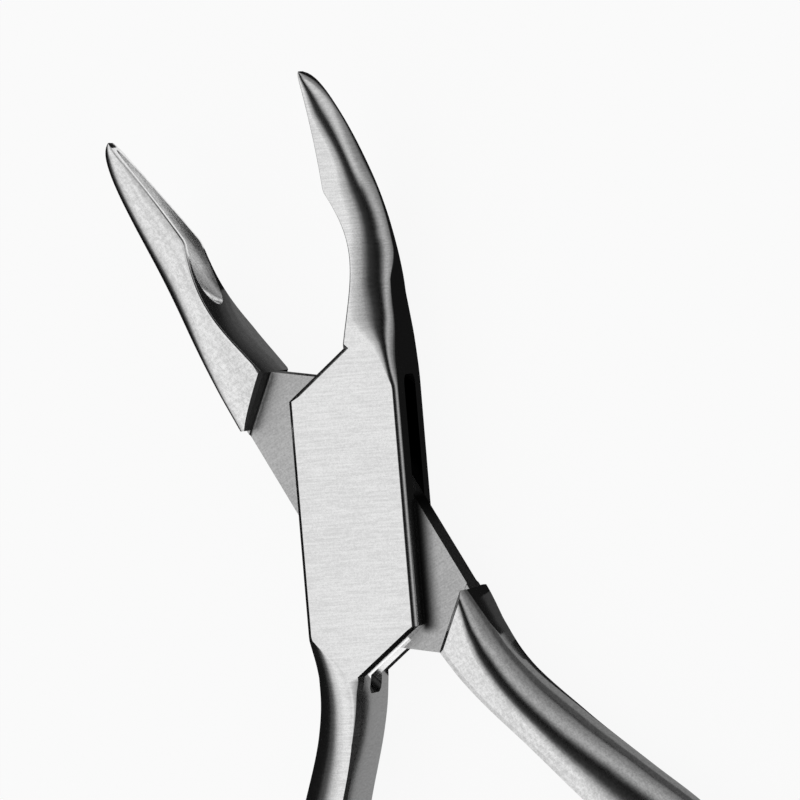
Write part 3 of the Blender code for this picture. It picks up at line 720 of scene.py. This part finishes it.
def shaped(name, mesh, steps, material):
    """An object made by Booleans, each a pair of operation and mesh, and then left as one mesh."""
    made = new_object(name, mesh, material)
    others = []
    for operation, other_mesh, other_material in steps:
        other = new_object(name + "_tool", other_mesh, other_material)
        modifier = made.modifiers.new("Boolean", "BOOLEAN")
        modifier.operation = operation
        modifier.solver = "EXACT"
        modifier.object = other
        modifier.material_mode = "TRANSFER"
        others.append(other)
    bpy.context.view_layer.update()
    graph = bpy.context.evaluated_depsgraph_get()
    result = bpy.data.meshes.new_from_object(made.evaluated_get(graph), depsgraph=graph)
    made.modifiers.clear()
    made.data = result
    for other in others:
        bpy.data.objects.remove(other)
    return made


def given(piece, steel, chosen):
    """Gives a steel to the faces that are chosen."""
    piece.data.materials.append(steel_named(steel))
    index = len(piece.data.materials) - 1
    for face in piece.data.polygons:
        if chosen(face):
            face.material_index = index


def paint_shade_on(piece, facing, reach):
    """Paints shade: gives the near-black painted-shade steel to what faces one way, bevels
    included, at a reach from the pivot.
    """

    def chosen(face):
        beside = abs(face.center.dot(facing) - reach) < BESIDE
        return beside and face.normal.dot(facing) > TURNED_TO

    given(piece, "steel_painted_shade", chosen)


def shaded_smooth(piece):
    piece.data.shade_smooth()
    piece.data.set_sharp_from_angle(angle=SHARP_ANGLE)


def smooth(piece):
    """Smooth shading with flat faces kept flat."""
    shaded_smooth(piece)
    modifier = piece.modifiers.new("Weighted Normal", "WEIGHTED_NORMAL")
    modifier.weight = 100
    modifier.keep_sharp = True
    return piece


# Shapes of the halves


def jaw_places(s, marks):
    straight = stations([*marks, s.jaw.reach - s.jaw.tip_rounding], FINE_PITCH)
    return straight + rounded_end(s.jaw.tip_rounding, s.jaw.reach, END_STEPS)


def handle_places(s, marks):
    near = stations([*marks, s.handle.rounding_end], FINE_PITCH)
    straight_end = s.handle.reach - s.handle.end_rounding
    far = stations([s.handle.rounding_end, straight_end], COARSE_PITCH)
    return near + far[1:] + rounded_end(s.handle.end_rounding, s.handle.reach, END_STEPS)


def box_blank(s):
    """The box half before its slot is cut: handle at -X, block, jaw at +X."""
    near = s.jaw.rounding_start * NEAR_SHARE
    above = jaw_places(s, [0.0, near, *chamfer_marks(s, jaw_inner)])
    below = handle_places(s, [0.0, near, *chamfer_marks(s, handle_inner)])
    rings = []
    for y in reversed(below[1:]):
        outline = handle_section(s, y, whole=True)
        rings.append([Vector((-p.x, -p.y, p.z)) for p in reversed(outline)])
    for y in above:
        rings.append(jaw_section(s, y, whole=True))
    return loft(rings)


def slot_cutter(s):
    tall = s.joint.web_thickness + 2 * s.joint.web_clearance
    turn = Matrix.Rotation(s.joint.slot_angle, 4, "Z")
    place = Matrix.Translation((0, 0, s.joint.thickness / 2)) @ turn
    mesh = block((2 * s.joint.slot_reach, 2 * FAR, tall), place)
    along = direction(s.joint.slot_angle + math.pi / 2)
    ends = [e for e in mesh.edges if abs((e.verts[0].co - e.verts[1].co).dot(along)) > FAR]
    bmesh.ops.bevel(
        mesh,
        geom=ends,
        offset=s.joint.slot_corner,
        offset_type="OFFSET",
        affect="EDGES",
        segments=SLOT_CORNER_STEPS,
        profile=0.5,
        material=-1,
    )
    return mesh


def shouldered(s, mesh, reach):
    """Cuts a limb off at its shoulder and bevels the shoulder's front, back and outer edges."""
    normal = direction(s.joint.chamfer_angle)
    cut_flat(mesh, normal * reach, normal)
    side = s.joint.width / 2
    corner_y = (reach - normal.x * side) / normal.y + s.joint.shoulder_corner
    cut_flat(mesh, Vector((side, corner_y, 0)), normal - Vector((1, 0, 0)))
    up = Vector((0, 0, 1))
    for face, outward in ((s.joint.thickness, up), (0.0, -up)):
        edge = normal * (reach + s.joint.shoulder_bevel) + Vector((0, 0, face))
        cut_flat(mesh, edge, normal - outward)
    return mesh


def insert_jaw(s):
    start = s.joint.chamfer_reach * BURIED
    places = jaw_places(s, [start, s.jaw.rounding_start])
    rings = [jaw_section(s, y, whole=False) for y in places]
    return shouldered(s, loft(rings), s.joint.chamfer_reach + s.joint.jaw_shoulder_gap)


def insert_handle(s):
    start = s.joint.chamfer_reach * BURIED
    places = handle_places(s, [start, s.jaw.rounding_start])
    rings = [handle_section(s, y, whole=False) for y in places]
    return shouldered(s, loft(rings), s.joint.chamfer_reach + s.joint.handle_shoulder_gap)


def web(s):
    """Flat web between the shoulders, in sections parallel to them, fillets included."""
    j = s.joint
    across = direction(j.chamfer_angle)
    along = direction(j.chamfer_angle + math.pi / 2)
    side, end = Vector((1, 0, 0)), direction(math.pi - j.chamfer_angle)
    side_reach = j.width / 2 - j.web_side_inset
    end_reach = j.slot_reach - j.web_end_gap
    limits = ((side, side_reach), (-side, side_reach), (end, end_reach), (-end, end_reach))
    web_half = j.web_thickness / 2

    def slice_at(place, half):
        low, high = -FAR, FAR
        for normal, reach in limits:
            rate = normal.dot(along)
            bound = (reach - normal.dot(across) * place) / rate
            if rate > 0:
                high = min(high, bound)
            else:
                low = max(low, bound)
        centre = across * place + Vector((0, 0, j.thickness / 2))
        lift = Vector((0, 0, half))
        near, away = centre + along * low, centre + along * high
        return [near - lift, away - lift, away + lift, near + lift]

    def root(shoulder, sign):
        """Places and half thicknesses through a shoulder's fillet and on into the limb."""
        points = []
        for k in range(FILLET_STEPS + 1):
            turn = k / FILLET_STEPS * math.pi / 2
            place = shoulder - j.shoulder_fillet * (1 - math.sin(turn))
            half = web_half + j.shoulder_fillet * (1 - math.cos(turn))
            points.append((sign * place, half))
        points.append((sign * (shoulder + j.web_anchor), web_half + j.shoulder_fillet))
        return points

    corner_y = (end_reach + end.x * side_reach) / end.y
    corner_place = Vector((-side_reach, corner_y, 0)).dot(across)
    sections = root(j.chamfer_reach + j.handle_shoulder_gap, -1)[::-1]
    sections += [(-corner_place, web_half), (corner_place, web_half)]
    sections += root(j.chamfer_reach + j.jaw_shoulder_gap, 1)
    return loft([slice_at(place, half) for place, half in sections])


def cup_cutter(s):
    """Long hollow in the jaw's inner face, deepest in the middle and blind at the tip."""
    end = s.jaw.reach - s.jaw.cup_tip_wall
    straight_start = s.jaw.cup_start + s.jaw.cup_start_rounding
    straight_end = end - s.jaw.cup_end_rounding
    run_in = rounded_end(s.jaw.cup_start_rounding, -s.jaw.cup_start, END_STEPS)
    places = [-y for y in reversed(run_in)]
    places += stations([straight_start, straight_end], FINE_PITCH)
    places += rounded_end(s.jaw.cup_end_rounding, end, END_STEPS)
    rings = []
    for y in places:
        before = clamp((straight_start - y) / s.jaw.cup_start_rounding)
        past = clamp((y - straight_end) / s.jaw.cup_end_rounding)
        fade = blend(CUP_END, 1.0, math.sqrt(1 - max(before, past) ** 2))
        middle = (jaw_front(s, y) + jaw_back(s, y)) / 2
        along = clamp((y - straight_start) / (straight_end - straight_start))
        half = ((jaw_front(s, y) - jaw_back(s, y)) / 2 - s.jaw.cup_rim) * fade
        depth = blend(s.jaw.cup_heel_depth, s.jaw.cup_tip_depth, along) * fade
        turns = [math.tau * k / CUP_SIDES for k in range(CUP_SIDES)]
        rings.append([Vector((depth * math.cos(a), y, middle + half * math.sin(a))) for a in turns])
    return loft(rings)


def bore_cutter(radius):
    profile = [(0, -FAR), (radius, -FAR), (radius, FAR), (0, FAR)]
    return lathe(profile, Matrix.Identity(4))


def screw_hole(s):
    """Blind hole in the box half's handle, from its inner face."""
    radius = s.spring.screw_diameter / 2 + s.spring.screw_clearance
    bottom = -s.spring.screw_depth - s.spring.hole_spare
    top = s.handle.bow_offset / 2
    profile = [(0, bottom), (radius, bottom), (radius, top), (0, top)]
    y = s.spring.screw_position
    return lathe(profile, along_x(s, -handle_inner(s, y), -y))


# Springs and screws, drawn for the box half


def leaf_path(s):
    """Middle line of the box half's leaf: a straight foot, then one bend to the meeting."""
    y = s.spring.screw_position
    face = -handle_inner(s, y) + s.spring.seat_gap + s.spring.foot_thickness / 2
    heading = direction(s.joint.open_angle / 2 + s.spring.tip_heading)
    meeting = direction(s.joint.open_angle / 2 - math.pi / 2) * s.spring.meeting
    screw, reach = Vector((face, -y, 0)), Vector((0, s.spring.foot_reach, 0))
    start, end = screw + reach, meeting + heading * s.spring.overrun
    chord = (end - start).length
    foot_pull = Vector((0, s.spring.foot_pull * chord, 0))
    handles = (start, start + foot_pull, end - heading * s.spring.tip_pull * chord, end)
    path = [screw - reach, screw]
    for k in range(LEAF_STEPS + 1):
        t = k / LEAF_STEPS
        weights = ((1 - t) ** 3, 3 * t * (1 - t) ** 2, 3 * t * t * (1 - t), t**3)
        path.append(sum((w * h for w, h in zip(weights, handles)), Vector()))
    return path, heading, meeting


def leaf_blank(s):
    path, heading, _ = leaf_path(s)
    broken = s.spring.edge_break
    rings = []
    for index, point in enumerate(path):
        before, after = path[max(index - 1, 0)], path[min(index + 1, len(path) - 1)]
        tangent = (after - before).normalized()
        if index <= 2:
            tangent = Vector((0, 1, 0))
        if index == len(path) - 1:
            tangent = heading
        side = Vector((tangent.y, -tangent.x, 0))
        bent = ease((index - 2) / LEAF_STEPS)
        half = blend(s.spring.foot_thickness, s.spring.tip_thickness, bent) / 2
        tall = s.spring.width / 2
        centre = point + Vector((0, 0, s.joint.thickness / 2))
        outline = (
            (half - broken, -tall),
            (half, broken - tall),
            (half, tall - broken),
            (half - broken, tall),
            (broken - half, tall),
            (-half, tall - broken),
            (-half, broken - tall),
            (broken - half, -tall),
        )
        rings.append([centre + side * x + Vector((0, 0, z)) for x, z in outline])
    return loft(rings)


def at_leaf_tip(s, height):
    """A block's place at the leaf's tip, at a height off its middle."""
    path, heading, _ = leaf_path(s)
    point = path[-1] + Vector((0, 0, s.joint.thickness / 2 + height))
    return Matrix.Translation(point) @ Matrix.Rotation(math.atan2(heading.y, heading.x), 4, "Z")


def fork_cutter(s):
    wide = s.spring.tongue_width + 2 * s.spring.tongue_clearance
    return block((2 * s.spring.tongue_length, LEAF_CUT, wide), at_leaf_tip(s, 0))


def tongue_cutter(s, sign):
    tall = s.spring.width
    place = at_leaf_tip(s, sign * (s.spring.tongue_width + tall) / 2)
    return block((2 * s.spring.tongue_length, LEAF_CUT, tall), place)


def foot_hole(s):
    radius = s.spring.screw_diameter / 2 + s.spring.hole_clearance
    reach, y = s.handle.bow_offset / 3, s.spring.screw_position
    profile = [(0, -reach), (radius, -reach), (radius, reach), (0, reach)]
    return lathe(profile, along_x(s, -handle_inner(s, y), -y))


def screw_blank(s):
    shank, head = s.spring.screw_diameter / 2, s.spring.head_diameter / 2
    depth, bevel = s.spring.screw_depth, s.spring.head_bevel
    seat = s.spring.foot_thickness + 2 * s.spring.seat_gap
    top = seat + s.spring.head_height
    point, lower = s.spring.point, s.spring.head_break
    profile = [(0, -depth), (shank - point, -depth), (shank, point - depth)]
    profile += [(shank, seat), (head - lower, seat), (head, seat + lower)]
    for k in range(HEAD_STEPS + 1):
        turn = k / HEAD_STEPS * math.pi / 2
        profile.append((head - bevel * (1 - math.cos(turn)), top - bevel * (1 - math.sin(turn))))
    profile.append((0, top))
    y = s.spring.screw_position
    return lathe(profile, along_x(s, -handle_inner(s, y), -y))


def screw_drive(s):
    y = s.spring.screw_position
    top = s.spring.foot_thickness + 2 * s.spring.seat_gap + s.spring.head_height
    place = Matrix.Translation((top - handle_inner(s, y), -y, s.joint.thickness / 2))
    size = (2 * s.spring.drive_depth, s.spring.drive_width, 2 * s.spring.head_diameter)
    return block(size, place)


# Materials


class Number:
    """A number socket that adds Math nodes as it is used in an expression."""

    def __init__(self, shader, socket):
        self.shader = shader
        self.socket = socket

    def math(self, operation, *others):
        inputs = dict(enumerate((self, *others)))
        return self.shader.add("Math", {"operation": operation}, inputs).number(0)

    def __add__(self, other):
        return self.math("ADD", other)

    def __sub__(self, other):
        return self.math("SUBTRACT", other)

    def __mul__(self, other):
        return self.math("MULTIPLY", other)

    def __neg__(self):
        return self.math("MULTIPLY", -1.0)

    def __rsub__(self, other):
        return -self + other

    __radd__ = __add__
    __rmul__ = __mul__


class Added:
    """A node that was added, and its sockets by name or place."""

    def __init__(self, shader, node):
        self.shader = shader
        self.node = node

    def out(self, key):
        return self.node.outputs[key]

    def number(self, key):
        return Number(self.shader, self.node.outputs[key])


class Shader:
    """The node tree of one material or world."""

    def __init__(self, owner):
        owner.use_nodes = True
        self.tree = owner.node_tree

    def link(self, value, socket):
        if isinstance(value, Number):
            value = value.socket
        if isinstance(value, bpy.types.NodeSocket):
            self.tree.links.new(value, socket)
        else:
            socket.default_value = value

    def add(self, kind, settings=None, inputs=None):
        """Any node, with its settings set first and then its sockets."""
        node = self.tree.nodes.new("ShaderNode" + kind)
        for name, value in (settings or {}).items():
            if name == "stops":
                ramp = node.color_ramp
                ramp.interpolation = "EASE"
                while len(ramp.elements) < len(value):
                    ramp.elements.new(1.0)
                for element, (place, level) in zip(ramp.elements, value):
                    element.position = place
                    element.color = (level, level, level, 1)
            else:
                setattr(node, name, value)
        for key, value in (inputs or {}).items():
            self.link(value, node.inputs[key])
        return Added(self, node)

    def mix(self, amount, first, second):
        """A colour between two colours."""
        first = first if isinstance(first, bpy.types.NodeSocket) else (*first, 1)
        second = second if isinstance(second, bpy.types.NodeSocket) else (*second, 1)
        inputs = {0: amount, 6: first, 7: second}
        return self.add("Mix", {"data_type": "RGBA"}, inputs).out(2)

    def ramp(self, value, low, high):
        """0 below low, 1 above high, and smooth between them."""
        settings = {"interpolation_type": "SMOOTHSTEP"}
        inputs = {"Value": value, "From Min": low, "From Max": high}
        return self.add("MapRange", settings, inputs).number(0)

    def placed(self, turn=0.0, scale=(1, 1, 1)):
        """Object coordinates, turned about Z and then scaled along the turned axes."""
        place = self.add("TexCoord").out("Object")
        settings = {"rotation_type": "Z_AXIS"}
        turned = self.add("VectorRotate", settings, {"Vector": place, "Angle": turn}).out(0)
        inputs = {0: turned, 1: scale}
        return self.add("VectorMath", {"operation": "MULTIPLY"}, inputs).out(0)

    def noise(self, turn, stretch, scale, detail, roughness):
        """Noise in object coordinates that are turned about Z and then stretched."""
        inputs = {"Vector": self.placed(turn, stretch), "Scale": scale}
        inputs.update({"Detail": detail, "Roughness": roughness})
        return self.add("TexNoise", None, inputs).number(0)


def ground_steel(name, colour_value, turn, roughness, spread, fleck=0.0, painted_shade=None):
    """Steel ground across a limb that is turned about Z. Spread is how far its tone varies.

    Flecks take the place of some grain. A painted shade is a row of axes, each with where it is
    clear and where it is full; there a near-black is painted in as shade.
    """
    material = bpy.data.materials.new(name)
    shader = Shader(material)
    surface = shader.tree.nodes["Principled BSDF"]
    surface.inputs["Metallic"].default_value = 1.0
    material.diffuse_color = (*colour_value, 1)
    grain, cloud = shader.noise(-turn, *GRAIN), shader.noise(-turn, *CLOUD)
    speck = shader.noise(0.0, *SPECK)
    grain_part = GRAIN_PART - fleck / 2
    tone = (grain - 0.5) * grain_part + (cloud - 0.5) * CLOUD_PART + (speck - 0.5) * SPECK_PART
    if fleck:
        tone = tone + (shader.noise(-turn, *FLECK) - 0.5) * fleck
    level = shader.ramp(tone, -TONE_LIMIT, TONE_LIMIT)
    dark = tuple(c * (1 - spread) for c in colour_value)
    light = tuple(min(1.0, c * (1 + spread)) for c in colour_value)
    tinted = shader.mix(level, dark, light)
    # Painted shade: a near-black mixed into the colour under the upper plate, where shade falls
    if painted_shade:
        place = shader.add("SeparateXYZ", None, {0: shader.placed()})
        shade_amount = 1.0
        for axis, clear, full in painted_shade:
            shade_amount = shader.ramp(place.number(axis), clear, full) * shade_amount
        tinted = shader.mix(shade_amount, tinted, PAINTED_SHADE_COLOUR)
    shader.link(tinted, surface.inputs["Base Color"])
    uneven = 1 - ROUGHNESS_SWING / 2 + grain * ROUGHNESS_SWING
    shader.link(roughness * uneven, surface.inputs["Roughness"])
    height = grain * (1 - SPECK_RELIEF) + speck * SPECK_RELIEF
    inputs = {"Strength": RELIEF_STRENGTH, "Distance": RELIEF, "Height": height}
    shader.link(shader.add("Bump", None, inputs).out(0), surface.inputs["Normal"])
    return material


def steel_named(name):
    """A steel by its name, made the first time that it is asked for."""
    s = bpy.context.scene.rongeur
    if name in bpy.data.materials:
        return bpy.data.materials[name]
    finish, turn = s.finish, s.joint.open_angle
    # Colour, turn of the grain, roughness, spread of the tone, flecks and painted shade
    steels = {
        "steel_box": (finish.satin, 0.0, 0.15, 0.13),
        "steel_insert": (finish.satin, turn, 0.15, 0.16, 0.65),
        "steel_web": (finish.web, turn, 0.4, 0.2, 0.3, WEB_PAINTED_SHADE),
        "steel_hollow": (finish.hollow, turn + math.pi / 2, 0.3, 0.3),
        "steel_floor": (finish.satin, 0.0, 0.15, 0.13, 0.0, SLOT_PAINTED_SHADE),
        "steel_painted_shade": (finish.dark, 0.0, 0.4, 0.2),
        "steel_spring": (finish.spring, 0.0, 0.26, 0.08),
        "steel_screw": (finish.screw, 0.0, 0.3, 0.08),
    }
    return ground_steel(name, *steels[name])


# Operators


class RONGEUR_OT_stage(bpy.types.Operator):
    """Adds the camera, the floor, the light and the cards"""

    bl_idname = "rongeur.stage"
    bl_label = "Stage"

    def execute(self, context):
        s = context.scene.rongeur
        context.scene.view_settings.view_transform = "Standard"
        self.add_camera(context, s)
        self.add_floor(context, s)
        self.add_light(context)
        self.add_cards()
        return {"FINISHED"}

    def add_camera(self, context, s):
        """A camera at the photograph's viewing angle."""
        tilt, rise, roll = (math.radians(a) for a in (VIEW_RIGHT, VIEW_RISE, VIEW_ROLL))
        back = Vector(
            (math.sin(tilt) * math.cos(rise), math.sin(rise), math.cos(tilt) * math.cos(rise))
        )
        right = Vector((0, 1, 0)).cross(back).normalized()
        up = back.cross(right)
        turned_right = right * math.cos(roll) - up * math.sin(roll)
        turned_up = right * math.sin(roll) + up * math.cos(roll)
        place = Vector((0, 0, s.joint.thickness / 2)) + VIEW_DISTANCE * back
        middle = Vector((FRAME_PIXELS / 2, FRAME_PIXELS / 2))
        across, down = (PIVOT_PIXEL - middle) / PIXELS_PER_METRE
        place += turned_up * down - turned_right * across
        data = bpy.data.cameras.new("camera")
        data.sensor_width = FILM
        data.lens = FILM * PIXELS_PER_METRE * VIEW_DISTANCE / FRAME_PIXELS
        data.clip_start, data.clip_end = 0.01, 20
        camera = bpy.data.objects.new("camera", data)
        axes = Matrix((turned_right, turned_up, back)).transposed()
        camera.matrix_world = Matrix.Translation(place) @ axes.to_4x4()
        context.scene.collection.objects.link(camera)
        context.scene.camera = camera

    def add_floor(self, context, s):
        """A pale floor that the camera sees as white, but for the object's soft shadow."""
        mesh = bmesh.new()
        bmesh.ops.create_grid(mesh, x_segments=1, y_segments=1, size=FLOOR_REACH)
        bmesh.ops.translate(mesh, vec=(0, 0, -FLOOR_DROP), verts=mesh.verts)
        material = bpy.data.materials.new("floor")
        shader = Shader(material)
        shader.tree.nodes.clear()
        pale = shader.add("BsdfDiffuse", None, {"Color": (*s.finish.floor, 1)}).out(0)
        white = shader.add("Emission", None, {"Color": (1, 1, 1, 1), "Strength": 1.0}).out(0)
        path = shader.add("LightPath")
        seen = path.number("Is Camera Ray")
        for ray in ("Is Glossy Ray", "Is Transmission Ray"):
            seen = seen.math("MAXIMUM", path.number(ray))
        seen = seen * FLOOR_WHITENESS
        mixed = shader.add("MixShader", None, {0: seen, 1: pale, 2: white}).out(0)
        shader.add("OutputMaterial", None, {"Surface": mixed})
        new_object("floor", mesh, material)

    def add_cards(self):
        """Dark and pale cards that light the instrument by reflection."""
        for index, (level, height, corners) in enumerate(CARDS):
            mesh = bmesh.new()
            made = bmesh.ops.create_circle(mesh, cap_ends=True, radius=1, segments=4)
            for vertex, (x, y) in zip(made["verts"], corners):
                vertex.co = (x / 1000, y / 1000, height / 1000 - CARD_DROP)
            material = bpy.data.materials.new("card")
            shader = Shader(material)
            shader.tree.nodes.clear()
            inputs = {"Color": (level, level, level, 1), "Strength": 1.0}
            glow = shader.add("Emission", None, inputs).out(0)
            shader.add("OutputMaterial", None, {"Surface": glow})
            card = new_object("card_%d" % index, mesh, material)
            card.visible_camera = False
            card.visible_diffuse = False
            card.visible_transmission = False
            card.visible_shadow = False

    def add_light(self, context):
        """Long soft boxes beside dark gaps, all parallel to the instrument's length."""
        world = bpy.data.worlds.new("studio")
        context.scene.world = world
        shader = Shader(world)
        shader.tree.nodes.clear()
        way = shader.add("TexCoord").out("Generated")
        parts = shader.add("SeparateXYZ", None, {0: way})
        turn = parts.number("X").math("ARCTAN2", parts.number("Z")) * (0.5 / math.pi) + 0.5

        def part_of_turn(degrees):
            return degrees / 360 + 0.5

        def right_of(limits):
            return shader.ramp(turn, *(part_of_turn(degrees) for degrees in limits))

        stops = [(part_of_turn(degrees), level) for degrees, level in STUDIO]
        grey = shader.add("ValToRGB", {"stops": stops}, {0: turn}).number(0)
        rightward = right_of(RIGHT_FROM) * (1 - right_of(RIGHT_TO))
        gone = 1 - shader.ramp(parts.number("Y"), *GONE_BEFORE)
        stronger = (1 - shader.ramp(parts.number("Y"), *STRONGER_BEFORE)) * (1 - gone)
        grey = grey * (1 - rightward * gone) + rightward * stronger * STRONGER_BY
        camera = shader.add("LightPath").number("Is Camera Ray")
        seen = shader.mix(camera, grey.socket, (1, 1, 1))
        lit = shader.add("Background", None, {"Color": seen, "Strength": 1.0}).out(0)
        shader.add("OutputWorld", None, {"Surface": lit})


class RONGEUR_OT_box_half(bpy.types.Operator):
    """Adds the half that holds the slot: right jaw, both plates and left handle"""

    bl_idname = "rongeur.box_half"
    bl_label = "Box half"

    def execute(self, context):
        s = context.scene.rongeur
        steel = steel_named("steel_box")
        bore = s.joint.pin_diameter / 2 + s.joint.pin_fit
        steps = [
            # Painted shade: the slot's cut faces take the near-black painted-shade steel
            ("DIFFERENCE", slot_cutter(s), steel_named("steel_painted_shade")),
            ("DIFFERENCE", bore_cutter(bore), steel),
            ("DIFFERENCE", cup_cutter(s), steel_named("steel_hollow")),
            ("DIFFERENCE", screw_hole(s), steel),
        ]
        piece = shaped("box_half_finished", box_blank(s), steps, steel)

        # The slot's floor turns back to satin steel, with painted shade under the upper plate
        def on_slot_floor(face):
            inside = piece.data.materials[face.material_index].name == "steel_painted_shade"
            return inside and face.normal.z > FLAT

        given(piece, "steel_floor", on_slot_floor)
        # Painted shade on the chamfer and its bevel, at the chamfer's reach
        paint_shade_on(piece, direction(math.pi - s.joint.chamfer_angle), s.joint.chamfer_reach)
        smooth(piece)
        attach(piece, "box")
        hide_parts("box_half")
        return {"FINISHED"}


class RONGEUR_OT_insert_half(bpy.types.Operator):
    """Adds the half that passes through the slot: left jaw, web and right handle"""

    bl_idname = "rongeur.insert_half"
    bl_label = "Insert half"

    def execute(self, context):
        s = context.scene.rongeur
        steel, web_steel = steel_named("steel_insert"), steel_named("steel_web")
        turn = s.joint.open_angle
        bore = s.joint.pin_diameter / 2 + s.joint.web_bore_fit
        steps = [
            ("UNION", rotated(mirrored(insert_jaw(s)), turn), steel),
            ("UNION", rotated(mirrored(insert_handle(s)), turn + math.pi), steel),
            ("DIFFERENCE", bore_cutter(bore), web_steel),
            ("DIFFERENCE", rotated(mirrored(cup_cutter(s)), turn), steel_named("steel_hollow")),
            ("DIFFERENCE", rotated(mirrored(screw_hole(s)), turn), steel),
        ]
        blank = rotated(mirrored(web(s)), turn)
        piece = shaped("insert_half_finished", blank, steps, web_steel)
        shoulder = direction(math.pi - s.joint.chamfer_angle + turn)
        # Painted shade on the jaw's shoulder and its bevels
        paint_shade_on(piece, -shoulder, -s.joint.chamfer_reach - s.joint.jaw_shoulder_gap)
        smooth(piece)
        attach(piece, "insert")
        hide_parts("insert_half")
        return {"FINISHED"}


class RONGEUR_OT_pivot_pin(bpy.types.Operator):
    """Adds the pin, peened flush with both plates"""

    bl_idname = "rongeur.pivot_pin"
    bl_label = "Pivot pin"

    def execute(self, context):
        s = context.scene.rongeur
        radius, tall = s.joint.pin_diameter / 2 + s.joint.pin_fit, s.joint.thickness
        broken = s.joint.pin_break
        profile = [(0, 0), (radius - broken, 0), (radius, broken), (radius, tall), (0, tall)]
        pin = lathe(profile, Matrix.Identity(4))
        piece = smooth(new_object("pivot_pin_finished", pin, steel_named("steel_box")))
        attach(piece, "box")
        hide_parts("pivot_pin")
        return {"FINISHED"}


class RONGEUR_OT_leaf_springs(bpy.types.Operator):
    """Adds the two leaf springs, each held at its foot and hooked in the other at its tip"""

    bl_idname = "rongeur.leaf_springs"
    bl_label = "Leaf springs"

    def execute(self, context):
        s = context.scene.rongeur
        steel, turn = steel_named("steel_spring"), s.joint.open_angle
        forked = shaped(
            "box_leaf_spring_finished",
            leaf_blank(s),
            [("DIFFERENCE", fork_cutter(s), steel), ("DIFFERENCE", foot_hole(s), steel)],
            steel,
        )
        cuts = [mirrored(tongue_cutter(s, sign)) for sign in (1, -1)] + [mirrored(foot_hole(s))]
        tongued = shaped(
            "insert_leaf_spring_finished",
            rotated(mirrored(leaf_blank(s)), turn),
            [("DIFFERENCE", rotated(cut, turn), steel) for cut in cuts],
            steel,
        )
        path, _, meeting = leaf_path(s)
        mirror = Matrix.Rotation(turn, 3, "Z") @ Matrix.Diagonal((-1, 1, 1))
        for piece, body, other, place in (
            (forked, "box", "insert", Matrix.Identity(3)),
            (tongued, "insert", "box", mirror),
        ):
            start, tip = place @ path[2], place @ meeting
            shaded_smooth(piece)
            start + 2 * (tip - start)
            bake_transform(piece)
            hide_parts(body + "_leaf_spring")
        return {"FINISHED"}


class RONGEUR_OT_spring_screws(bpy.types.Operator):
    """Adds the two screws that hold the springs' feet"""

    bl_idname = "rongeur.spring_screws"
    bl_label = "Spring screws"

    def execute(self, context):
        s = context.scene.rongeur
        steel, turn = steel_named("steel_screw"), s.joint.open_angle
        for body in ("box", "insert"):
            blank, drive = screw_blank(s), screw_drive(s)
            if body == "insert":
                blank = rotated(mirrored(blank), turn)
                drive = rotated(mirrored(drive), turn)
            steps = [("DIFFERENCE", drive, steel)]
            piece = smooth(shaped(body + "_spring_screw_finished", blank, steps, steel))
            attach(piece, body)
            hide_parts(body + "_spring_screw")
        return {"FINISHED"}


class RONGEUR_PT_panel(bpy.types.Panel):
    """Lists the rongeur's pieces, sizes and colours"""

    bl_idname = "RONGEUR_PT_panel"
    bl_label = "Rongeur"
    bl_space_type = "VIEW_3D"
    bl_region_type = "UI"
    bl_category = "Rongeur"

    def draw(self, context):
        for operator in OPERATORS:
            self.layout.operator(operator.bl_idname)
        for group in ("joint", "jaw", "handle", "spring", "finish"):
            values = getattr(context.scene.rongeur, group)
            box = self.layout.box()
            box.label(text=group.capitalize())
            for name in values.__annotations__:
                box.prop(values, name)


GROUPS = (
    RongeurJoint,
    RongeurJaw,
    RongeurHandle,
    RongeurSpring,
    RongeurFinish,
    RongeurSettings,
)
OPERATORS = (
    RONGEUR_OT_stage,
    RONGEUR_OT_box_half,
    RONGEUR_OT_insert_half,
    RONGEUR_OT_pivot_pin,
    RONGEUR_OT_leaf_springs,
    RONGEUR_OT_spring_screws,
)


def register():
    for item in (*GROUPS, *OPERATORS, RONGEUR_PT_panel):
        bpy.utils.register_class(item)
    bpy.types.Scene.rongeur = PointerProperty(type=RongeurSettings)


def unregister():
    del bpy.types.Scene.rongeur
    for item in reversed((*GROUPS, *OPERATORS, RONGEUR_PT_panel)):
        bpy.utils.unregister_class(item)


def main():
    register()
    bpy.ops.rongeur.stage()
    bpy.ops.rongeur.box_half()
    bpy.ops.rongeur.insert_half()
    bpy.ops.rongeur.pivot_pin()
    bpy.ops.rongeur.leaf_springs()
    bpy.ops.rongeur.spring_screws()


if __name__ == "__main__":
    main()
